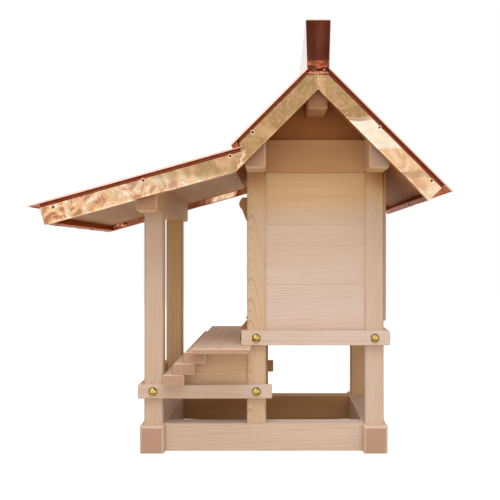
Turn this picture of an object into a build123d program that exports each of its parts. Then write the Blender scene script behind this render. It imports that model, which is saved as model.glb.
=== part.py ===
"""A small outdoor shrine of pale cypress with a copper roof, about two shaku tall.

It stands on an open base frame. Six square posts carry a closed hall at the back and an
open porch with three steps at the front. The roof is steep over the hall and flat over
the porch. The front faces -Y, X runs across the front, and the origin is at the middle
of the whole outline, on the surface that the base stands on.
"""
from build123d import *
import math
import os

# Sizes of the shrine, in millimetres and degrees.

# Posts
POST = 27.5
POST_CHAMFER = 2.0
POST_SPAN = 250.0
PORCH_BAY = 149.0
HALL_BAY = 171.0
FRONT_POST_TOP = 343.5
HALL_POST_RISE = 60.0

# Small bevel along the edges of rails and side beams
EDGE_EASE = 0.8

# Base frame
BASE_WIDTH = 34.0
BASE_HEIGHT = 39.5
BASE_CHAMFER = 3.0
BASE_END = 20.0

# Rails nailed around the posts
RAIL_THICK = 8.0
LOWER_RAIL_LIFT = 37.5
LOWER_RAIL_HEIGHT = 20.0
LOWER_RAIL_TAIL = 9.0
UPPER_RAIL_HEIGHT = 21.0

# Steps and deck
STEP_RISE = 16.5
STEP_DEPTH = 30.0
STEP_GOING = 15.6
STEP_SIDE_OVERHANG = 26.25
STEP_SETBACK = 2.5
STEP_CHAMFER = 1.5
DECK_THICK = 7.0
DECK_DEPTH = 76.5
DECK_SIDE_OVERHANG = 54.25
DECK_CHAMFER = 1.2
DECK_EAR = 6.5
SIDE_BOARD_THICK = 8.0
SIDE_BOARD_RECESS = 5.0

# Hall walls and floor
WALL_THICK = 8.0
WALL_RECESS = 4.0
BACK_WALL_THICK = 3.0
FLOOR_THICK = 18.0
FLOOR_ABOVE_RAIL = 14.0
TIE_THICK = 12.0
TIE_RECESS = 1.5
GABLE_THICK = 8.0
GABLE_RECESS = 10.0

# Doors and their pivot blocks
DOOR_THICK = 9.0
DOOR_GAP = 0.7
DOOR_PANEL_DEPTH = 2.5
DOOR_FRAME = 18.0
DOOR_PIN_RADIUS = 2.5
DOOR_PIN_LENGTH = 8.0
DOOR_PIN_CLEARANCE = 0.1
DOOR_PULL_INSET = 9.0
HEAD_THICK = 8.0
HEAD_LAP = 10.0
BLOCK_WIDTH = 22.0
BLOCK_REACH = 12.6
BLOCK_NECK = 8.5
UPPER_BLOCK_DROP = 34.5
UPPER_BLOCK_HEIGHT = 35.0
LOWER_BLOCK_HEIGHT = 12.5
LOWER_BLOCK_REACH = 10.5
BLOCK_LIP = 1.5

# Plates under the roof
PLATE_WIDTH = 28.5
PLATE_END_GAP = 13.5
PLATE_HEIGHT = 47.0
PORCH_PLATE_HEIGHT = 29.3
PLATE_CHAMFER = 2.5
PURLIN_WIDTH = 29.0
PURLIN_HEIGHT = 37.0

# Roof
MAIN_PITCH = 45.0
PORCH_PITCH = 15.6
ROOF_BOARD = 15.0
FASCIA_LIP = 10.0
FASCIA_THICK = 9.0
VERGE_OVERHANG = 88.75
FRONT_EAVE_STEP = 12.3
BACK_EAVE_OVERHANG = 71.5
PORCH_EAVE_OVERHANG = 137.3
SHEET_THICK = 5.0
SHEET_OVERHANG = 13.0
SHEET_SIDE_OVERHANG = 8.0
SHEET_LAP_GAP = 1.5

# Ridge box
RIDGE_FOOT_WIDTH = 30.0
RIDGE_TOP_WIDTH = 34.0
RIDGE_HEIGHT = 66.0
RIDGE_END_OVERHANG = 2.0
RIDGE_FOOT_INSET = 8.0
RIDGE_FOOT_CLEARANCE = 2.0

# Brass studs
STUD_RADIUS = 5.5
STUD_HEIGHT = 3.4
PULL_SHARE = 0.7

STEP_COUNT = 3
SIDES = (1, -1)
QUARTER_TURN = 90.0

# Values that follow from the sizes above.
half_post = POST / 2
post_x = POST_SPAN / 2
face_x = post_x + half_post
inner_x = post_x - half_post
step_x = face_x + STEP_SIDE_OVERHANG
deck_x = face_x + DECK_SIDE_OVERHANG
verge_x = face_x + VERGE_OVERHANG
board_x = verge_x - FASCIA_THICK
plate_x = board_x - PLATE_END_GAP
sheet_x = verge_x + SHEET_SIDE_OVERHANG

main_slope = math.tan(math.radians(MAIN_PITCH))
main_cos = math.cos(math.radians(MAIN_PITCH))
main_sin = math.sin(math.radians(MAIN_PITCH))
porch_slope = math.tan(math.radians(PORCH_PITCH))
porch_cos = math.cos(math.radians(PORCH_PITCH))
porch_sin = math.sin(math.radians(PORCH_PITCH))

# The whole depth, from sheet edge to sheet edge, is centred on the origin.
sheet_top = ROOF_BOARD + SHEET_THICK
front_reach = PORCH_BAY + PORCH_EAVE_OVERHANG + SHEET_OVERHANG * porch_cos + sheet_top * porch_sin
back_reach = HALL_BAY + BACK_EAVE_OVERHANG + SHEET_OVERHANG * main_cos + sheet_top * main_sin
y_mid = (front_reach - back_reach) / 2
y_front = y_mid - PORCH_BAY
y_back = y_mid + HALL_BAY
y_ridge = (y_mid + y_back) / 2
hall_face_y = y_mid - half_post
back_face_y = y_back + half_post
porch_face_y = y_front - half_post
porch_rear_y = y_front + half_post

# Heights, from the base up.
hall_post_top = FRONT_POST_TOP + HALL_POST_RISE
lower_rail_bottom = BASE_HEIGHT + LOWER_RAIL_LIFT
lower_rail_top = lower_rail_bottom + LOWER_RAIL_HEIGHT
deck_bottom = lower_rail_top + STEP_COUNT * STEP_RISE
deck_top = deck_bottom + DECK_THICK
upper_rail_bottom = deck_top
upper_rail_top = upper_rail_bottom + UPPER_RAIL_HEIGHT
floor_top = upper_rail_top + FLOOR_ABOVE_RAIL
floor_bottom = floor_top - FLOOR_THICK
tie_top = hall_post_top + PLATE_HEIGHT
apex = tie_top + (HALL_BAY / 2 - PLATE_WIDTH / 2) * main_slope
porch_plate_top = FRONT_POST_TOP + PORCH_PLATE_HEIGHT
seat_z = apex + ROOF_BOARD / main_cos - RIDGE_FOOT_WIDTH / 2 * main_slope
sheet_seat_z = seat_z + SHEET_THICK / main_cos
door_bottom = floor_top + DOOR_GAP
upper_block_top = hall_post_top - UPPER_BLOCK_DROP
upper_block_bottom = upper_block_top - UPPER_BLOCK_HEIGHT
door_top = upper_block_bottom - DOOR_GAP


def main_z(y, above):
    """Height at y of the main roof plane that lies `above` over the board's underside."""
    return apex - abs(y - y_ridge) * main_slope + above / main_cos


def porch_z(y, above):
    """Height at y of the porch roof plane that lies `above` over the board's underside."""
    return porch_plate_top + (y - y_front) * porch_slope + above / porch_cos


def break_point(main_above, porch_above, gap):
    """Point of the front main plane that is `gap` over the porch plane, before the ridge."""
    rise_at_mid = main_z(y_mid, main_above) - porch_z(y_mid, porch_above) - gap
    y = y_mid - rise_at_mid / (main_slope - porch_slope)
    return (y, main_z(y, main_above))


def eave_corner():
    """Upper corner of the front main slope's square-cut end, a step above the porch roof."""
    return break_point(ROOF_BOARD, ROOF_BOARD, FRONT_EAVE_STEP)


def eave_cut(above):
    """Where the square-cut end of the front main slope meets a porch roof plane."""
    y_corner, z_corner = eave_corner()
    drop = (z_corner - porch_z(y_corner, above)) / (main_cos + main_sin * porch_slope)
    return (y_corner + drop * main_sin, z_corner - drop * main_cos)


def back_point(run, above, past=0):
    """Point on the back slope: run from the ridge along the underside, then off the plane."""
    y = y_ridge + run + past * main_cos + above * main_sin
    return (y, apex - run * main_slope - past * main_sin + above * main_cos)


def porch_point(above, past=0):
    """Point at the square-cut front end of the porch roof, `past` further down the slope."""
    y_end = y_front - PORCH_EAVE_OVERHANG
    y = y_end - past * porch_cos - above * porch_sin
    return (y, porch_z(y_end, 0) - past * porch_sin + above * porch_cos)


def block(x_low, x_high, y_low, y_high, z_low, z_high):
    """Box between two corners."""
    size = Box(x_high - x_low, y_high - y_low, z_high - z_low)
    return Pos((x_low + x_high) / 2, (y_low + y_high) / 2, (z_low + z_high) / 2) * size


def across(outline, x_low, x_high):
    """Solid whose outline of (y, z) points runs across the shrine from x_low to x_high."""
    face = make_face(Polyline([(x_low, y, z) for y, z in outline], close=True))
    return extrude(face, amount=x_high - x_low, dir=(1, 0, 0))


def eased(board):
    """The same board with a small bevel along all its edges."""
    return chamfer(board.edges(), EDGE_EASE)


def on_both_sides(make):
    """The same piece on the right and left, as solids that don't touch."""
    return Compound(children=[make(side) for side in SIDES])


def beside(side, inner, thick):
    """Range of x for a board on one side, from its inner face outwards."""
    return sorted((side * inner, side * (inner + thick)))


def base_cross_beam(y):
    """Beam along X under one pair of posts, with bevelled ends that pass the side beams."""
    half = face_x + BASE_END
    beam = block(-half, half, y - BASE_WIDTH / 2, y + BASE_WIDTH / 2, 0, BASE_HEIGHT)
    ends = beam.edges().filter_by(Axis.X, reverse=True)
    return chamfer(ends, BASE_CHAMFER)


def base_side_beam(side):
    """Beam along Y between the two cross beams, flush with the posts' outer faces."""
    x_low, x_high = beside(side, face_x - BASE_WIDTH, BASE_WIDTH)
    beam = block(x_low, x_high, y_front + BASE_WIDTH / 2, y_back - BASE_WIDTH / 2, 0, BASE_HEIGHT)
    return chamfer(beam.edges().filter_by(Axis.Y), EDGE_EASE)


def post(side, y, top):
    """Square post with chamfered corners, standing on the base."""
    x = side * post_x
    shaft = block(x - half_post, x + half_post, y - half_post, y + half_post, BASE_HEIGHT, top)
    return chamfer(shaft.edges().filter_by(Axis.Z), POST_CHAMFER)


def lower_side_rail(side):
    """Rail along the porch side, from the front rail's face past the middle post."""
    x_low, x_high = beside(side, face_x, RAIL_THICK)
    y_low = porch_face_y - RAIL_THICK
    y_high = y_mid + half_post + LOWER_RAIL_TAIL
    return eased(block(x_low, x_high, y_low, y_high, lower_rail_bottom, lower_rail_top))


def lower_front_rail():
    """Rail across the front posts, between the side rails."""
    y_low = porch_face_y - RAIL_THICK
    return eased(block(-face_x, face_x, y_low, porch_face_y, lower_rail_bottom, lower_rail_top))


def upper_side_rail(side):
    """Rail along the hall's side at floor height, over the ends of the cross rails."""
    x_low, x_high = beside(side, face_x, RAIL_THICK)
    y_low = hall_face_y - RAIL_THICK
    y_high = back_face_y + RAIL_THICK
    return eased(block(x_low, x_high, y_low, y_high, upper_rail_bottom, upper_rail_top))


def upper_cross_rail(y_low):
    """Rail across the hall's front or back, between the side rails."""
    return eased(block(-face_x, face_x, y_low, y_low + RAIL_THICK, upper_rail_bottom, upper_rail_top))


def step_place(number):
    """Front, back and bottom of a step, numbered from the ground up."""
    y_low = porch_rear_y + STEP_SETBACK + number * STEP_GOING
    return y_low, y_low + STEP_DEPTH, lower_rail_top + number * STEP_RISE


def step(number):
    """Solid step board that lies on the one below, or on the rails."""
    y_low, y_high, z_low = step_place(number)
    board = block(-step_x, step_x, y_low, y_high, z_low, z_low + STEP_RISE)
    return chamfer(board.edges(), STEP_CHAMFER)


def deck_board():
    """Board before the doors, with an ear beside each middle post."""
    y_low = hall_face_y - DECK_DEPTH
    deck = block(-deck_x, deck_x, y_low, hall_face_y, deck_bottom, deck_top)
    for side in SIDES:
        x_low, x_high = beside(side, face_x, deck_x - face_x)
        y_high = hall_face_y + DECK_EAR
        deck += block(x_low, x_high, hall_face_y, y_high, deck_bottom, deck_top)
    front_edges = deck.edges().filter_by(Axis.X).group_by(Axis.Y)[0]
    corner_edges = deck.edges().filter_by(Axis.Z).group_by(Axis.Y)[0]
    long_edges = deck.edges().filter_by(Axis.Y).group_by(Axis.X)
    return chamfer(front_edges + corner_edges + long_edges[0] + long_edges[-1], DECK_CHAMFER)


def stair_side_board(side):
    """Board that closes the side under steps and deck, its top cut to the steps' undersides."""
    outline = [
        (porch_rear_y, lower_rail_bottom),
        (hall_face_y, lower_rail_bottom),
        (hall_face_y, deck_bottom),
    ]
    for number in reversed(range(STEP_COUNT)):
        y_high, z_low = step_place(number)[1:]
        outline.append((y_high, z_low + STEP_RISE))
        outline.append((y_high, z_low))
    outline.append((porch_rear_y, lower_rail_top))
    inner = face_x - SIDE_BOARD_RECESS - SIDE_BOARD_THICK
    return across(outline, *beside(side, inner, SIDE_BOARD_THICK))


def hall_floor():
    """Floor of the hall, notched around the four posts, with its front edge as the sill."""
    half = face_x - WALL_RECESS - WALL_THICK
    floor = block(-half, half, hall_face_y, back_face_y, floor_bottom, floor_top)
    for side in SIDES:
        x_low, x_high = beside(side, inner_x, POST)
        for y in (y_mid, y_back):
            floor -= block(x_low, x_high, y - half_post, y + half_post, floor_bottom, floor_top)
    return floor


def side_wall(side):
    """Wall board let in between the middle and back posts."""
    x_low, x_high = beside(side, face_x - WALL_RECESS - WALL_THICK, WALL_THICK)
    y_low = y_mid + half_post
    y_high = y_back - half_post
    return block(x_low, x_high, y_low, y_high, upper_rail_bottom, hall_post_top)


def back_wall():
    """Thin board nailed over the back posts, from the floor to the plate."""
    y_high = back_face_y + BACK_WALL_THICK
    return block(-face_x, face_x, back_face_y, y_high, floor_top, hall_post_top)


def tie_board(side):
    """Deep board over the side wall, between the front and back plates."""
    x_low, x_high = beside(side, face_x - TIE_RECESS - TIE_THICK, TIE_THICK)
    y_low = y_mid + PLATE_WIDTH / 2
    y_high = y_back - PLATE_WIDTH / 2
    return block(x_low, x_high, y_low, y_high, hall_post_top, tie_top)


def gable_board(side):
    """Triangular board over the tie board, notched around the ridge purlin."""
    half_base = HALL_BAY / 2 - PLATE_WIDTH / 2
    half_purlin = PURLIN_WIDTH / 2
    purlin_side_top = apex - half_purlin * main_slope
    purlin_bottom = apex - PURLIN_HEIGHT
    outline = [
        (y_ridge - half_base, tie_top),
        (y_ridge + half_base, tie_top),
        (y_ridge + half_purlin, purlin_side_top),
        (y_ridge + half_purlin, purlin_bottom),
        (y_ridge - half_purlin, purlin_bottom),
        (y_ridge - half_purlin, purlin_side_top),
    ]
    inner = face_x - GABLE_RECESS - GABLE_THICK
    return across(outline, *beside(side, inner, GABLE_THICK))


def door_head():
    """Board over the doors, behind their top edges, up to the front plate."""
    y_low = hall_face_y + DOOR_THICK
    z_low = door_top - HEAD_LAP
    return block(-inner_x, inner_x, y_low, y_low + HEAD_THICK, z_low, hall_post_top)


def pin_place(side):
    """Middle of a door's pivot pins, in plan."""
    return side * (inner_x - BLOCK_WIDTH / 2), hall_face_y + DOOR_THICK / 2


def door(side):
    """Door leaf with a sunk panel on both faces and a round pin that turns in the block."""
    x_low, x_high = sorted((side * DOOR_GAP / 2, side * (inner_x - DOOR_GAP)))
    y_low = hall_face_y
    y_high = hall_face_y + DOOR_THICK
    leaf = block(x_low, x_high, y_low, y_high, door_bottom, door_top)
    for y in (y_low, y_high - DOOR_PANEL_DEPTH):
        leaf -= block(
            x_low + DOOR_FRAME, x_high - DOOR_FRAME, y, y + DOOR_PANEL_DEPTH,
            door_bottom + DOOR_FRAME, door_top - DOOR_FRAME,
        )
    x, y = pin_place(side)
    foot = Pos(x, y, door_bottom - DOOR_GAP / 2) * Cylinder(DOOR_PIN_RADIUS, DOOR_GAP)
    head = Pos(x, y, door_top + DOOR_PIN_LENGTH / 2) * Cylinder(DOOR_PIN_RADIUS, DOOR_PIN_LENGTH)
    return leaf + foot + head


def upper_pivot_block(side):
    """Carved block before the door head: flat lip, round nose, neck, then a slant to its foot."""
    z_low = upper_block_bottom
    z_high = upper_block_top
    y_nose = hall_face_y - BLOCK_REACH
    y_neck = hall_face_y - BLOCK_NECK
    z_neck = (z_low + z_high) / 2
    z_lip = z_high - BLOCK_LIP
    x_low, x_high = beside(side, inner_x - BLOCK_WIDTH, BLOCK_WIDTH)
    y_seat = hall_face_y + DOOR_THICK
    rim = Polyline((x_low, y_neck, z_neck), (x_low, hall_face_y - BLOCK_LIP, z_low),
                   (x_low, y_seat, z_low), (x_low, y_seat, z_high),
                   (x_low, y_neck, z_high), (x_low, y_neck, z_lip))
    nose = ThreePointArc((x_low, y_neck, z_lip), (x_low, y_nose, (z_lip + z_neck) / 2),
                         (x_low, y_neck, z_neck))
    body = extrude(make_face([rim, nose]), amount=BLOCK_WIDTH, dir=(1, 0, 0))
    x, y = pin_place(side)
    bore_depth = DOOR_PIN_LENGTH - DOOR_GAP
    bore = Cylinder(DOOR_PIN_RADIUS + DOOR_PIN_CLEARANCE, bore_depth)
    return body - Pos(x, y, z_low + bore_depth / 2) * bore


def lower_pivot_block(side):
    """Low block on the front rail before the sill, with a slant top and a small nose."""
    z_low = upper_rail_top
    outline = [
        (hall_face_y, z_low),
        (hall_face_y, z_low + LOWER_BLOCK_HEIGHT),
        (hall_face_y - BLOCK_LIP, z_low + LOWER_BLOCK_HEIGHT),
        (hall_face_y - LOWER_BLOCK_REACH, z_low + BLOCK_LIP),
        (hall_face_y - LOWER_BLOCK_REACH, z_low),
    ]
    return across(outline, *beside(side, inner_x - BLOCK_WIDTH, BLOCK_WIDTH))


def beam_end_bevel(beam):
    """Bevel the lower edges of a roof beam, and the lower and upright edges of its ends."""
    long_edges = beam.edges().filter_by(Axis.X).group_by(Axis.Z)[0]
    end_edges = beam.edges().filter_by(Axis.Y).group_by(Axis.Z)[0]
    upright_edges = beam.edges().filter_by(Axis.Z)
    return chamfer(long_edges + end_edges + upright_edges, PLATE_CHAMFER)


def plate(y, bottom, roof_z):
    """Beam along X on a pair of posts, its top cut to the roof board's underside."""
    y_low = y - PLATE_WIDTH / 2
    y_high = y + PLATE_WIDTH / 2
    outline = [(y_low, bottom), (y_high, bottom), (y_high, roof_z(y_high, 0)), (y_low, roof_z(y_low, 0))]
    return beam_end_bevel(across(outline, -plate_x, plate_x))


def ridge_purlin():
    """Beam along X under the ridge, with a peaked top."""
    y_low = y_ridge - PURLIN_WIDTH / 2
    y_high = y_ridge + PURLIN_WIDTH / 2
    bottom = apex - PURLIN_HEIGHT
    outline = [(y_low, bottom), (y_high, bottom), (y_high, main_z(y_high, 0)),
               (y_ridge, apex), (y_low, main_z(y_low, 0))]
    return beam_end_bevel(across(outline, -plate_x, plate_x))


def back_run():
    """Run of the back slope, from the ridge to its square-cut end, along the underside."""
    return HALL_BAY / 2 + BACK_EAVE_OVERHANG


def ridge_edge(lower_above, toward):
    """Outline at the ridge: up the middle to the flat seat and along it to the slope."""
    half_seat = RIDGE_FOOT_WIDTH / 2
    return [(y_ridge, main_z(y_ridge, lower_above)), (y_ridge, seat_z),
            (y_ridge + toward * half_seat, seat_z)]


def front_main_outline(lower_above):
    """Front slope from the ridge to its square-cut end, then in to the porch roof."""
    foot = break_point(lower_above, lower_above, 0)
    return ridge_edge(lower_above, -1) + [eave_corner(), eave_cut(ROOF_BOARD), foot]


def back_main_outline(lower_above, short):
    """Back slope from the ridge to its square-cut end, stopped `short` of it."""
    ends = [back_point(back_run(), ROOF_BOARD, -short), back_point(back_run(), lower_above, -short)]
    return ridge_edge(lower_above, 1) + ends


def porch_outline(lower_above, short):
    """Porch slope from the main roof to its square-cut end, stopped `short` of it."""
    foot = break_point(lower_above, lower_above, 0)
    return [foot, eave_cut(ROOF_BOARD), porch_point(ROOF_BOARD, -short), porch_point(lower_above, -short)]


def verge_board(side, outline):
    """Copper-clad board along one verge of a slope."""
    return across(outline, *beside(side, board_x, FASCIA_THICK))


def eave_board(point):
    """Copper-clad board along an eave, between the verge boards; `point` gives its corners."""
    outline = [point(-FASCIA_LIP, 0), point(ROOF_BOARD, 0),
               point(ROOF_BOARD, -FASCIA_THICK), point(-FASCIA_LIP, -FASCIA_THICK)]
    return across(outline, -board_x, board_x)


def back_eave_point(above, past):
    """Corner of the back eave board."""
    return back_point(back_run(), above, past)


def back_sheet():
    """Copper roof covering of the back slope, from the ridge box past the eave."""
    y_top = y_ridge + RIDGE_FOOT_WIDTH / 2
    outline = [(y_top, seat_z), (y_top, sheet_seat_z),
               back_point(back_run(), sheet_top, SHEET_OVERHANG),
               back_point(back_run(), ROOF_BOARD, SHEET_OVERHANG)]
    return across(outline, -sheet_x, sheet_x)


def front_sheet():
    """Copper roof covering of the front slope, whose end laps over the porch roof."""
    y_top = y_ridge - RIDGE_FOOT_WIDTH / 2
    tip = break_point(ROOF_BOARD, sheet_top, SHEET_LAP_GAP)
    upper_tip = (tip[0] - SHEET_THICK * main_sin, tip[1] + SHEET_THICK * main_cos)
    outline = [(y_top, seat_z), (y_top, sheet_seat_z), upper_tip, tip]
    return across(outline, -sheet_x, sheet_x)


def porch_sheet():
    """Copper roof covering of the porch, from under the front slope past the eave."""
    outline = [eave_cut(ROOF_BOARD), eave_cut(sheet_top),
               porch_point(sheet_top, SHEET_OVERHANG), porch_point(ROOF_BOARD, SHEET_OVERHANG)]
    return across(outline, -sheet_x, sheet_x)


def ridge_box():
    """Copper-clad ridge, wider at its top, on a foot that stops short of its ends."""
    half_foot = RIDGE_FOOT_WIDTH / 2
    half_top = RIDGE_TOP_WIDTH / 2
    half_length = verge_x + RIDGE_END_OVERHANG
    z_high = sheet_seat_z + RIDGE_HEIGHT
    outline = [(y_ridge - half_foot, sheet_seat_z), (y_ridge + half_foot, sheet_seat_z),
               (y_ridge + half_top, z_high), (y_ridge - half_top, z_high)]
    foot_y = half_foot - RIDGE_FOOT_CLEARANCE
    foot_x = half_length - RIDGE_FOOT_INSET
    foot = block(-foot_x, foot_x, y_ridge - foot_y, y_ridge + foot_y, seat_z, sheet_seat_z)
    return across(outline, -half_length, half_length) + foot


def stud(radius, height):
    """Domed nail head standing on z = 0, a cap of a sphere."""
    ball_radius = (radius ** 2 + height ** 2) / (2 * height)
    ball = Pos(0, 0, height - ball_radius) * Sphere(ball_radius)
    keep = block(-ball_radius, ball_radius, -ball_radius, ball_radius, 0, ball_radius)
    return ball & keep


def brass_studs():
    """Studs on the rails at each post, and one on each door as its pull."""
    head = stud(STUD_RADIUS, STUD_HEIGHT)
    pull = stud(STUD_RADIUS * PULL_SHARE, STUD_HEIGHT * PULL_SHARE)
    lower_z = (lower_rail_bottom + lower_rail_top) / 2
    upper_z = (upper_rail_bottom + upper_rail_top) / 2
    faces = []
    for side in SIDES:
        x = side * (face_x + RAIL_THICK)
        outward = Rotation(0, side * QUARTER_TURN, 0)
        for y, z in ((y_front, lower_z), (y_mid, lower_z), (y_mid, upper_z), (y_back, upper_z)):
            faces.append(Pos(x, y, z) * outward * head)
        x = side * post_x
        forward = Rotation(QUARTER_TURN, 0, 0)
        faces.append(Pos(x, porch_face_y - RAIL_THICK, lower_z) * forward * head)
        faces.append(Pos(x, hall_face_y - RAIL_THICK, upper_z) * forward * head)
        faces.append(Pos(x, back_face_y + RAIL_THICK, upper_z) * Rotation(-QUARTER_TURN, 0, 0) * head)
        x = side * DOOR_PULL_INSET
        faces.append(Pos(x, hall_face_y, (door_bottom + door_top) / 2) * forward * pull)
    return Compound(children=faces)


def pivot_blocks():
    """The four blocks over and under the outer edges of the doors."""
    makers = (upper_pivot_block, lower_pivot_block)
    return Compound(children=[make(side) for make in makers for side in SIDES])


def make_parts():
    """All pieces by name."""
    parts = {
        "base_front_beam": base_cross_beam(y_front),
        "base_back_beam": base_cross_beam(y_back),
        "base_side_beams": on_both_sides(base_side_beam),
        "lower_front_rail": lower_front_rail(),
        "lower_side_rails": on_both_sides(lower_side_rail),
        "upper_front_rail": upper_cross_rail(hall_face_y - RAIL_THICK),
        "upper_back_rail": upper_cross_rail(back_face_y),
        "upper_side_rails": on_both_sides(upper_side_rail),
        "deck_board": deck_board(),
        "stair_side_boards": on_both_sides(stair_side_board),
        "hall_floor": hall_floor(),
        "right_side_wall": side_wall(1),
        "left_side_wall": side_wall(-1),
        "back_wall": back_wall(),
        "tie_boards": on_both_sides(tie_board),
        "gable_boards": on_both_sides(gable_board),
        "door_head": door_head(),
        "right_door": door(1),
        "left_door": door(-1),
        "door_pivot_blocks": pivot_blocks(),
        "porch_plate": plate(y_front, FRONT_POST_TOP, porch_z),
        "hall_front_plate": plate(y_mid, hall_post_top, main_z),
        "hall_back_plate": plate(y_back, hall_post_top, main_z),
        "ridge_purlin": ridge_purlin(),
        "front_roof_board": across(front_main_outline(0), -board_x, board_x),
        "back_roof_board": across(back_main_outline(0, FASCIA_THICK), -board_x, board_x),
        "porch_roof_board": across(porch_outline(0, FASCIA_THICK), -board_x, board_x),
        "porch_eave_board": eave_board(porch_point),
        "back_eave_board": eave_board(back_eave_point),
        "front_roof_sheet": front_sheet(),
        "back_roof_sheet": back_sheet(),
        "porch_roof_sheet": porch_sheet(),
        "ridge_box": ridge_box(),
        "brass_studs": brass_studs(),
    }
    verges = {
        "front_verge_boards": front_main_outline(-FASCIA_LIP),
        "back_verge_boards": back_main_outline(-FASCIA_LIP, 0),
        "porch_verge_boards": porch_outline(-FASCIA_LIP, 0),
    }
    for name, outline in verges.items():
        parts[name] = Compound(children=[verge_board(side, outline) for side in SIDES])
    rows = {
        "front": (y_front, FRONT_POST_TOP),
        "middle": (y_mid, hall_post_top),
        "back": (y_back, hall_post_top),
    }
    for row, (y, top) in rows.items():
        parts[row + "_right_post"] = post(1, y, top)
        parts[row + "_left_post"] = post(-1, y, top)
    for number, name in enumerate(("bottom_step", "middle_step", "top_step")):
        parts[name] = step(number)
    return parts


os.makedirs("parts", exist_ok=True)
for name, shape in make_parts().items():
    export_step(shape, os.path.join("parts", name + ".step"))
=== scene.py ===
"""Looks of a small cypress shrine: planed timber, a hand-folded copper roof and brass studs.

The solid model is the frame. Timber keeps its solid shapes and gets its grain here. The wall
boards, the copper work and the studs are surfaces worked out from the places of the solids.
"""
import math

import bmesh
import bpy
import numpy as np
from bpy.props import FloatProperty, FloatVectorProperty, PointerProperty
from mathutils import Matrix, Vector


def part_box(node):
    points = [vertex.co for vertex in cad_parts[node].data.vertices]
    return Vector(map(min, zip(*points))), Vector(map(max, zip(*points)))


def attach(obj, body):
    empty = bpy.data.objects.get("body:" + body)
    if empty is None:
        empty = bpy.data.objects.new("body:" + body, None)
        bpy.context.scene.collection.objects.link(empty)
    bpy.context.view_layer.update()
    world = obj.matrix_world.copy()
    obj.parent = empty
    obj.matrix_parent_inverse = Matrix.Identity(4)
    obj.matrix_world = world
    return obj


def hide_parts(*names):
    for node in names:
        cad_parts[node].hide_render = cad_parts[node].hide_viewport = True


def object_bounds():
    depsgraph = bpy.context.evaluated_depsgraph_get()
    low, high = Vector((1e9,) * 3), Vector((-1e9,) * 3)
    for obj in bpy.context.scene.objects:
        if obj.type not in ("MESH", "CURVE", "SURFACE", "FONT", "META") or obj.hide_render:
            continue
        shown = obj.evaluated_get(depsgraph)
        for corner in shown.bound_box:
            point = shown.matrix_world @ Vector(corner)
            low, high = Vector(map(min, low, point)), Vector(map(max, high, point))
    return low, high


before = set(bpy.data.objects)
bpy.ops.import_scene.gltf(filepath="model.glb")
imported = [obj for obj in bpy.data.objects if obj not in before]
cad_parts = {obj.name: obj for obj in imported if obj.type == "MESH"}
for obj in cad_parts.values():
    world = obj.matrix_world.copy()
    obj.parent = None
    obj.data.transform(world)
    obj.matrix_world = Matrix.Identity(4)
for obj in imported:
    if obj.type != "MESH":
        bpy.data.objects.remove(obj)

bl_info = {
    "name": "Small Wayside Shrine",
    "version": (1, 0, 0),
    "blender": (4, 5, 0),
    "location": "3D View > Sidebar > Shrine",
    "description": "Dresses a small cypress shrine with timber grain, copper work and brass studs",
    "category": "Add Mesh",
}

CAD_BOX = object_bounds()
BODY = "root"
SIDES = (1, -1)
FULL_TURN = 2 * math.pi
WHITE = (1.0, 1.0, 1.0)

# Named values that the copper finish reads from each point of a piece.
COPPER_MARKS = ("dull", "pale", "swirl", "red")

# The picture's frame in pixels: its side, the focal length and the point that the camera looks at.
PICTURE_SIDE = 500
PICTURE_FOCAL = 880
PICTURE_EYE = (279, 252)
SENSOR_WIDTH = 36.0

# Points on the round of a fold.
FOLD_STEPS = 5

# Points closer than this are one point, and corners this close to a plane lie on it, in metres.
MERGE_DISTANCE = 1e-6
PLANE_TOLERANCE = 1e-5


def length(name, description, default):
    """A length in metres."""
    return FloatProperty(name=name, description=description, default=default, unit="LENGTH", precision=4)


def colour(name, description, default):
    """A linear colour."""
    return FloatVectorProperty(name=name, description=description, default=default, subtype="COLOR",
                               size=3, min=0.0, max=1.0)


def angle(name, description, degrees):
    """An angle, given in degrees and kept in radians."""
    return FloatProperty(name=name, description=description, default=math.radians(degrees),
                         unit="ROTATION", subtype="ANGLE")


def strength(name, description, default):
    """A share of full strength, from 0 to 1."""
    return FloatProperty(name=name, description=description, default=default, subtype="FACTOR",
                         min=0.0, max=1.0)


def power(name, description, watts):
    """The power of a lamp in watts."""
    return FloatProperty(name=name, description=description, default=watts, unit="POWER")


class ShrineTimber(bpy.types.PropertyGroup):
    """Planed cypress and the boards of the side walls."""

    pale: colour("Pale wood", "Early wood of most pieces", (0.71, 0.53, 0.40))
    straw: colour("Straw wood", "Yellower wood", (0.74, 0.495, 0.275))
    blush: colour("Blush wood", "Pinker wood", (0.76, 0.595, 0.51))
    # Used both as heartwood and as painted shade: the low tones of the ties, gables, purlin, roof boards,
    # far halves and top wall board, and the wood under the eaves.
    heart_and_shade: colour("Heartwood", "Orange-brown wood from the middle of the log", (0.42, 0.17, 0.055))
    late: colour("Late wood", "Thin lines between the growth rings", (0.46, 0.25, 0.13))
    end_grain: colour("End grain", "Sawn ends of beams and steps", (0.48, 0.24, 0.165))
    grey_end: colour("Grey end grain", "Sawn ends of the plate at the back of the hall", (0.50, 0.37, 0.36))
    # Painted shade: the sawn ends of the back wall are this dark because they lie in shade.
    painted_shade_end: colour("Dark end grain", "Sawn ends of the back wall", (0.34, 0.25, 0.205))
    ring_width: length("Ring width", "Width of one year's growth", 0.0030)
    board_width: length("Wall board width", "Height of one lying wall board", 0.0874)
    board_gap: length("Wall board gap", "Open joint between two wall boards", 0.0001)
    board_ease: length("Wall board bevel", "Bevel along the edges of a wall board", 0.00025)


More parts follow.
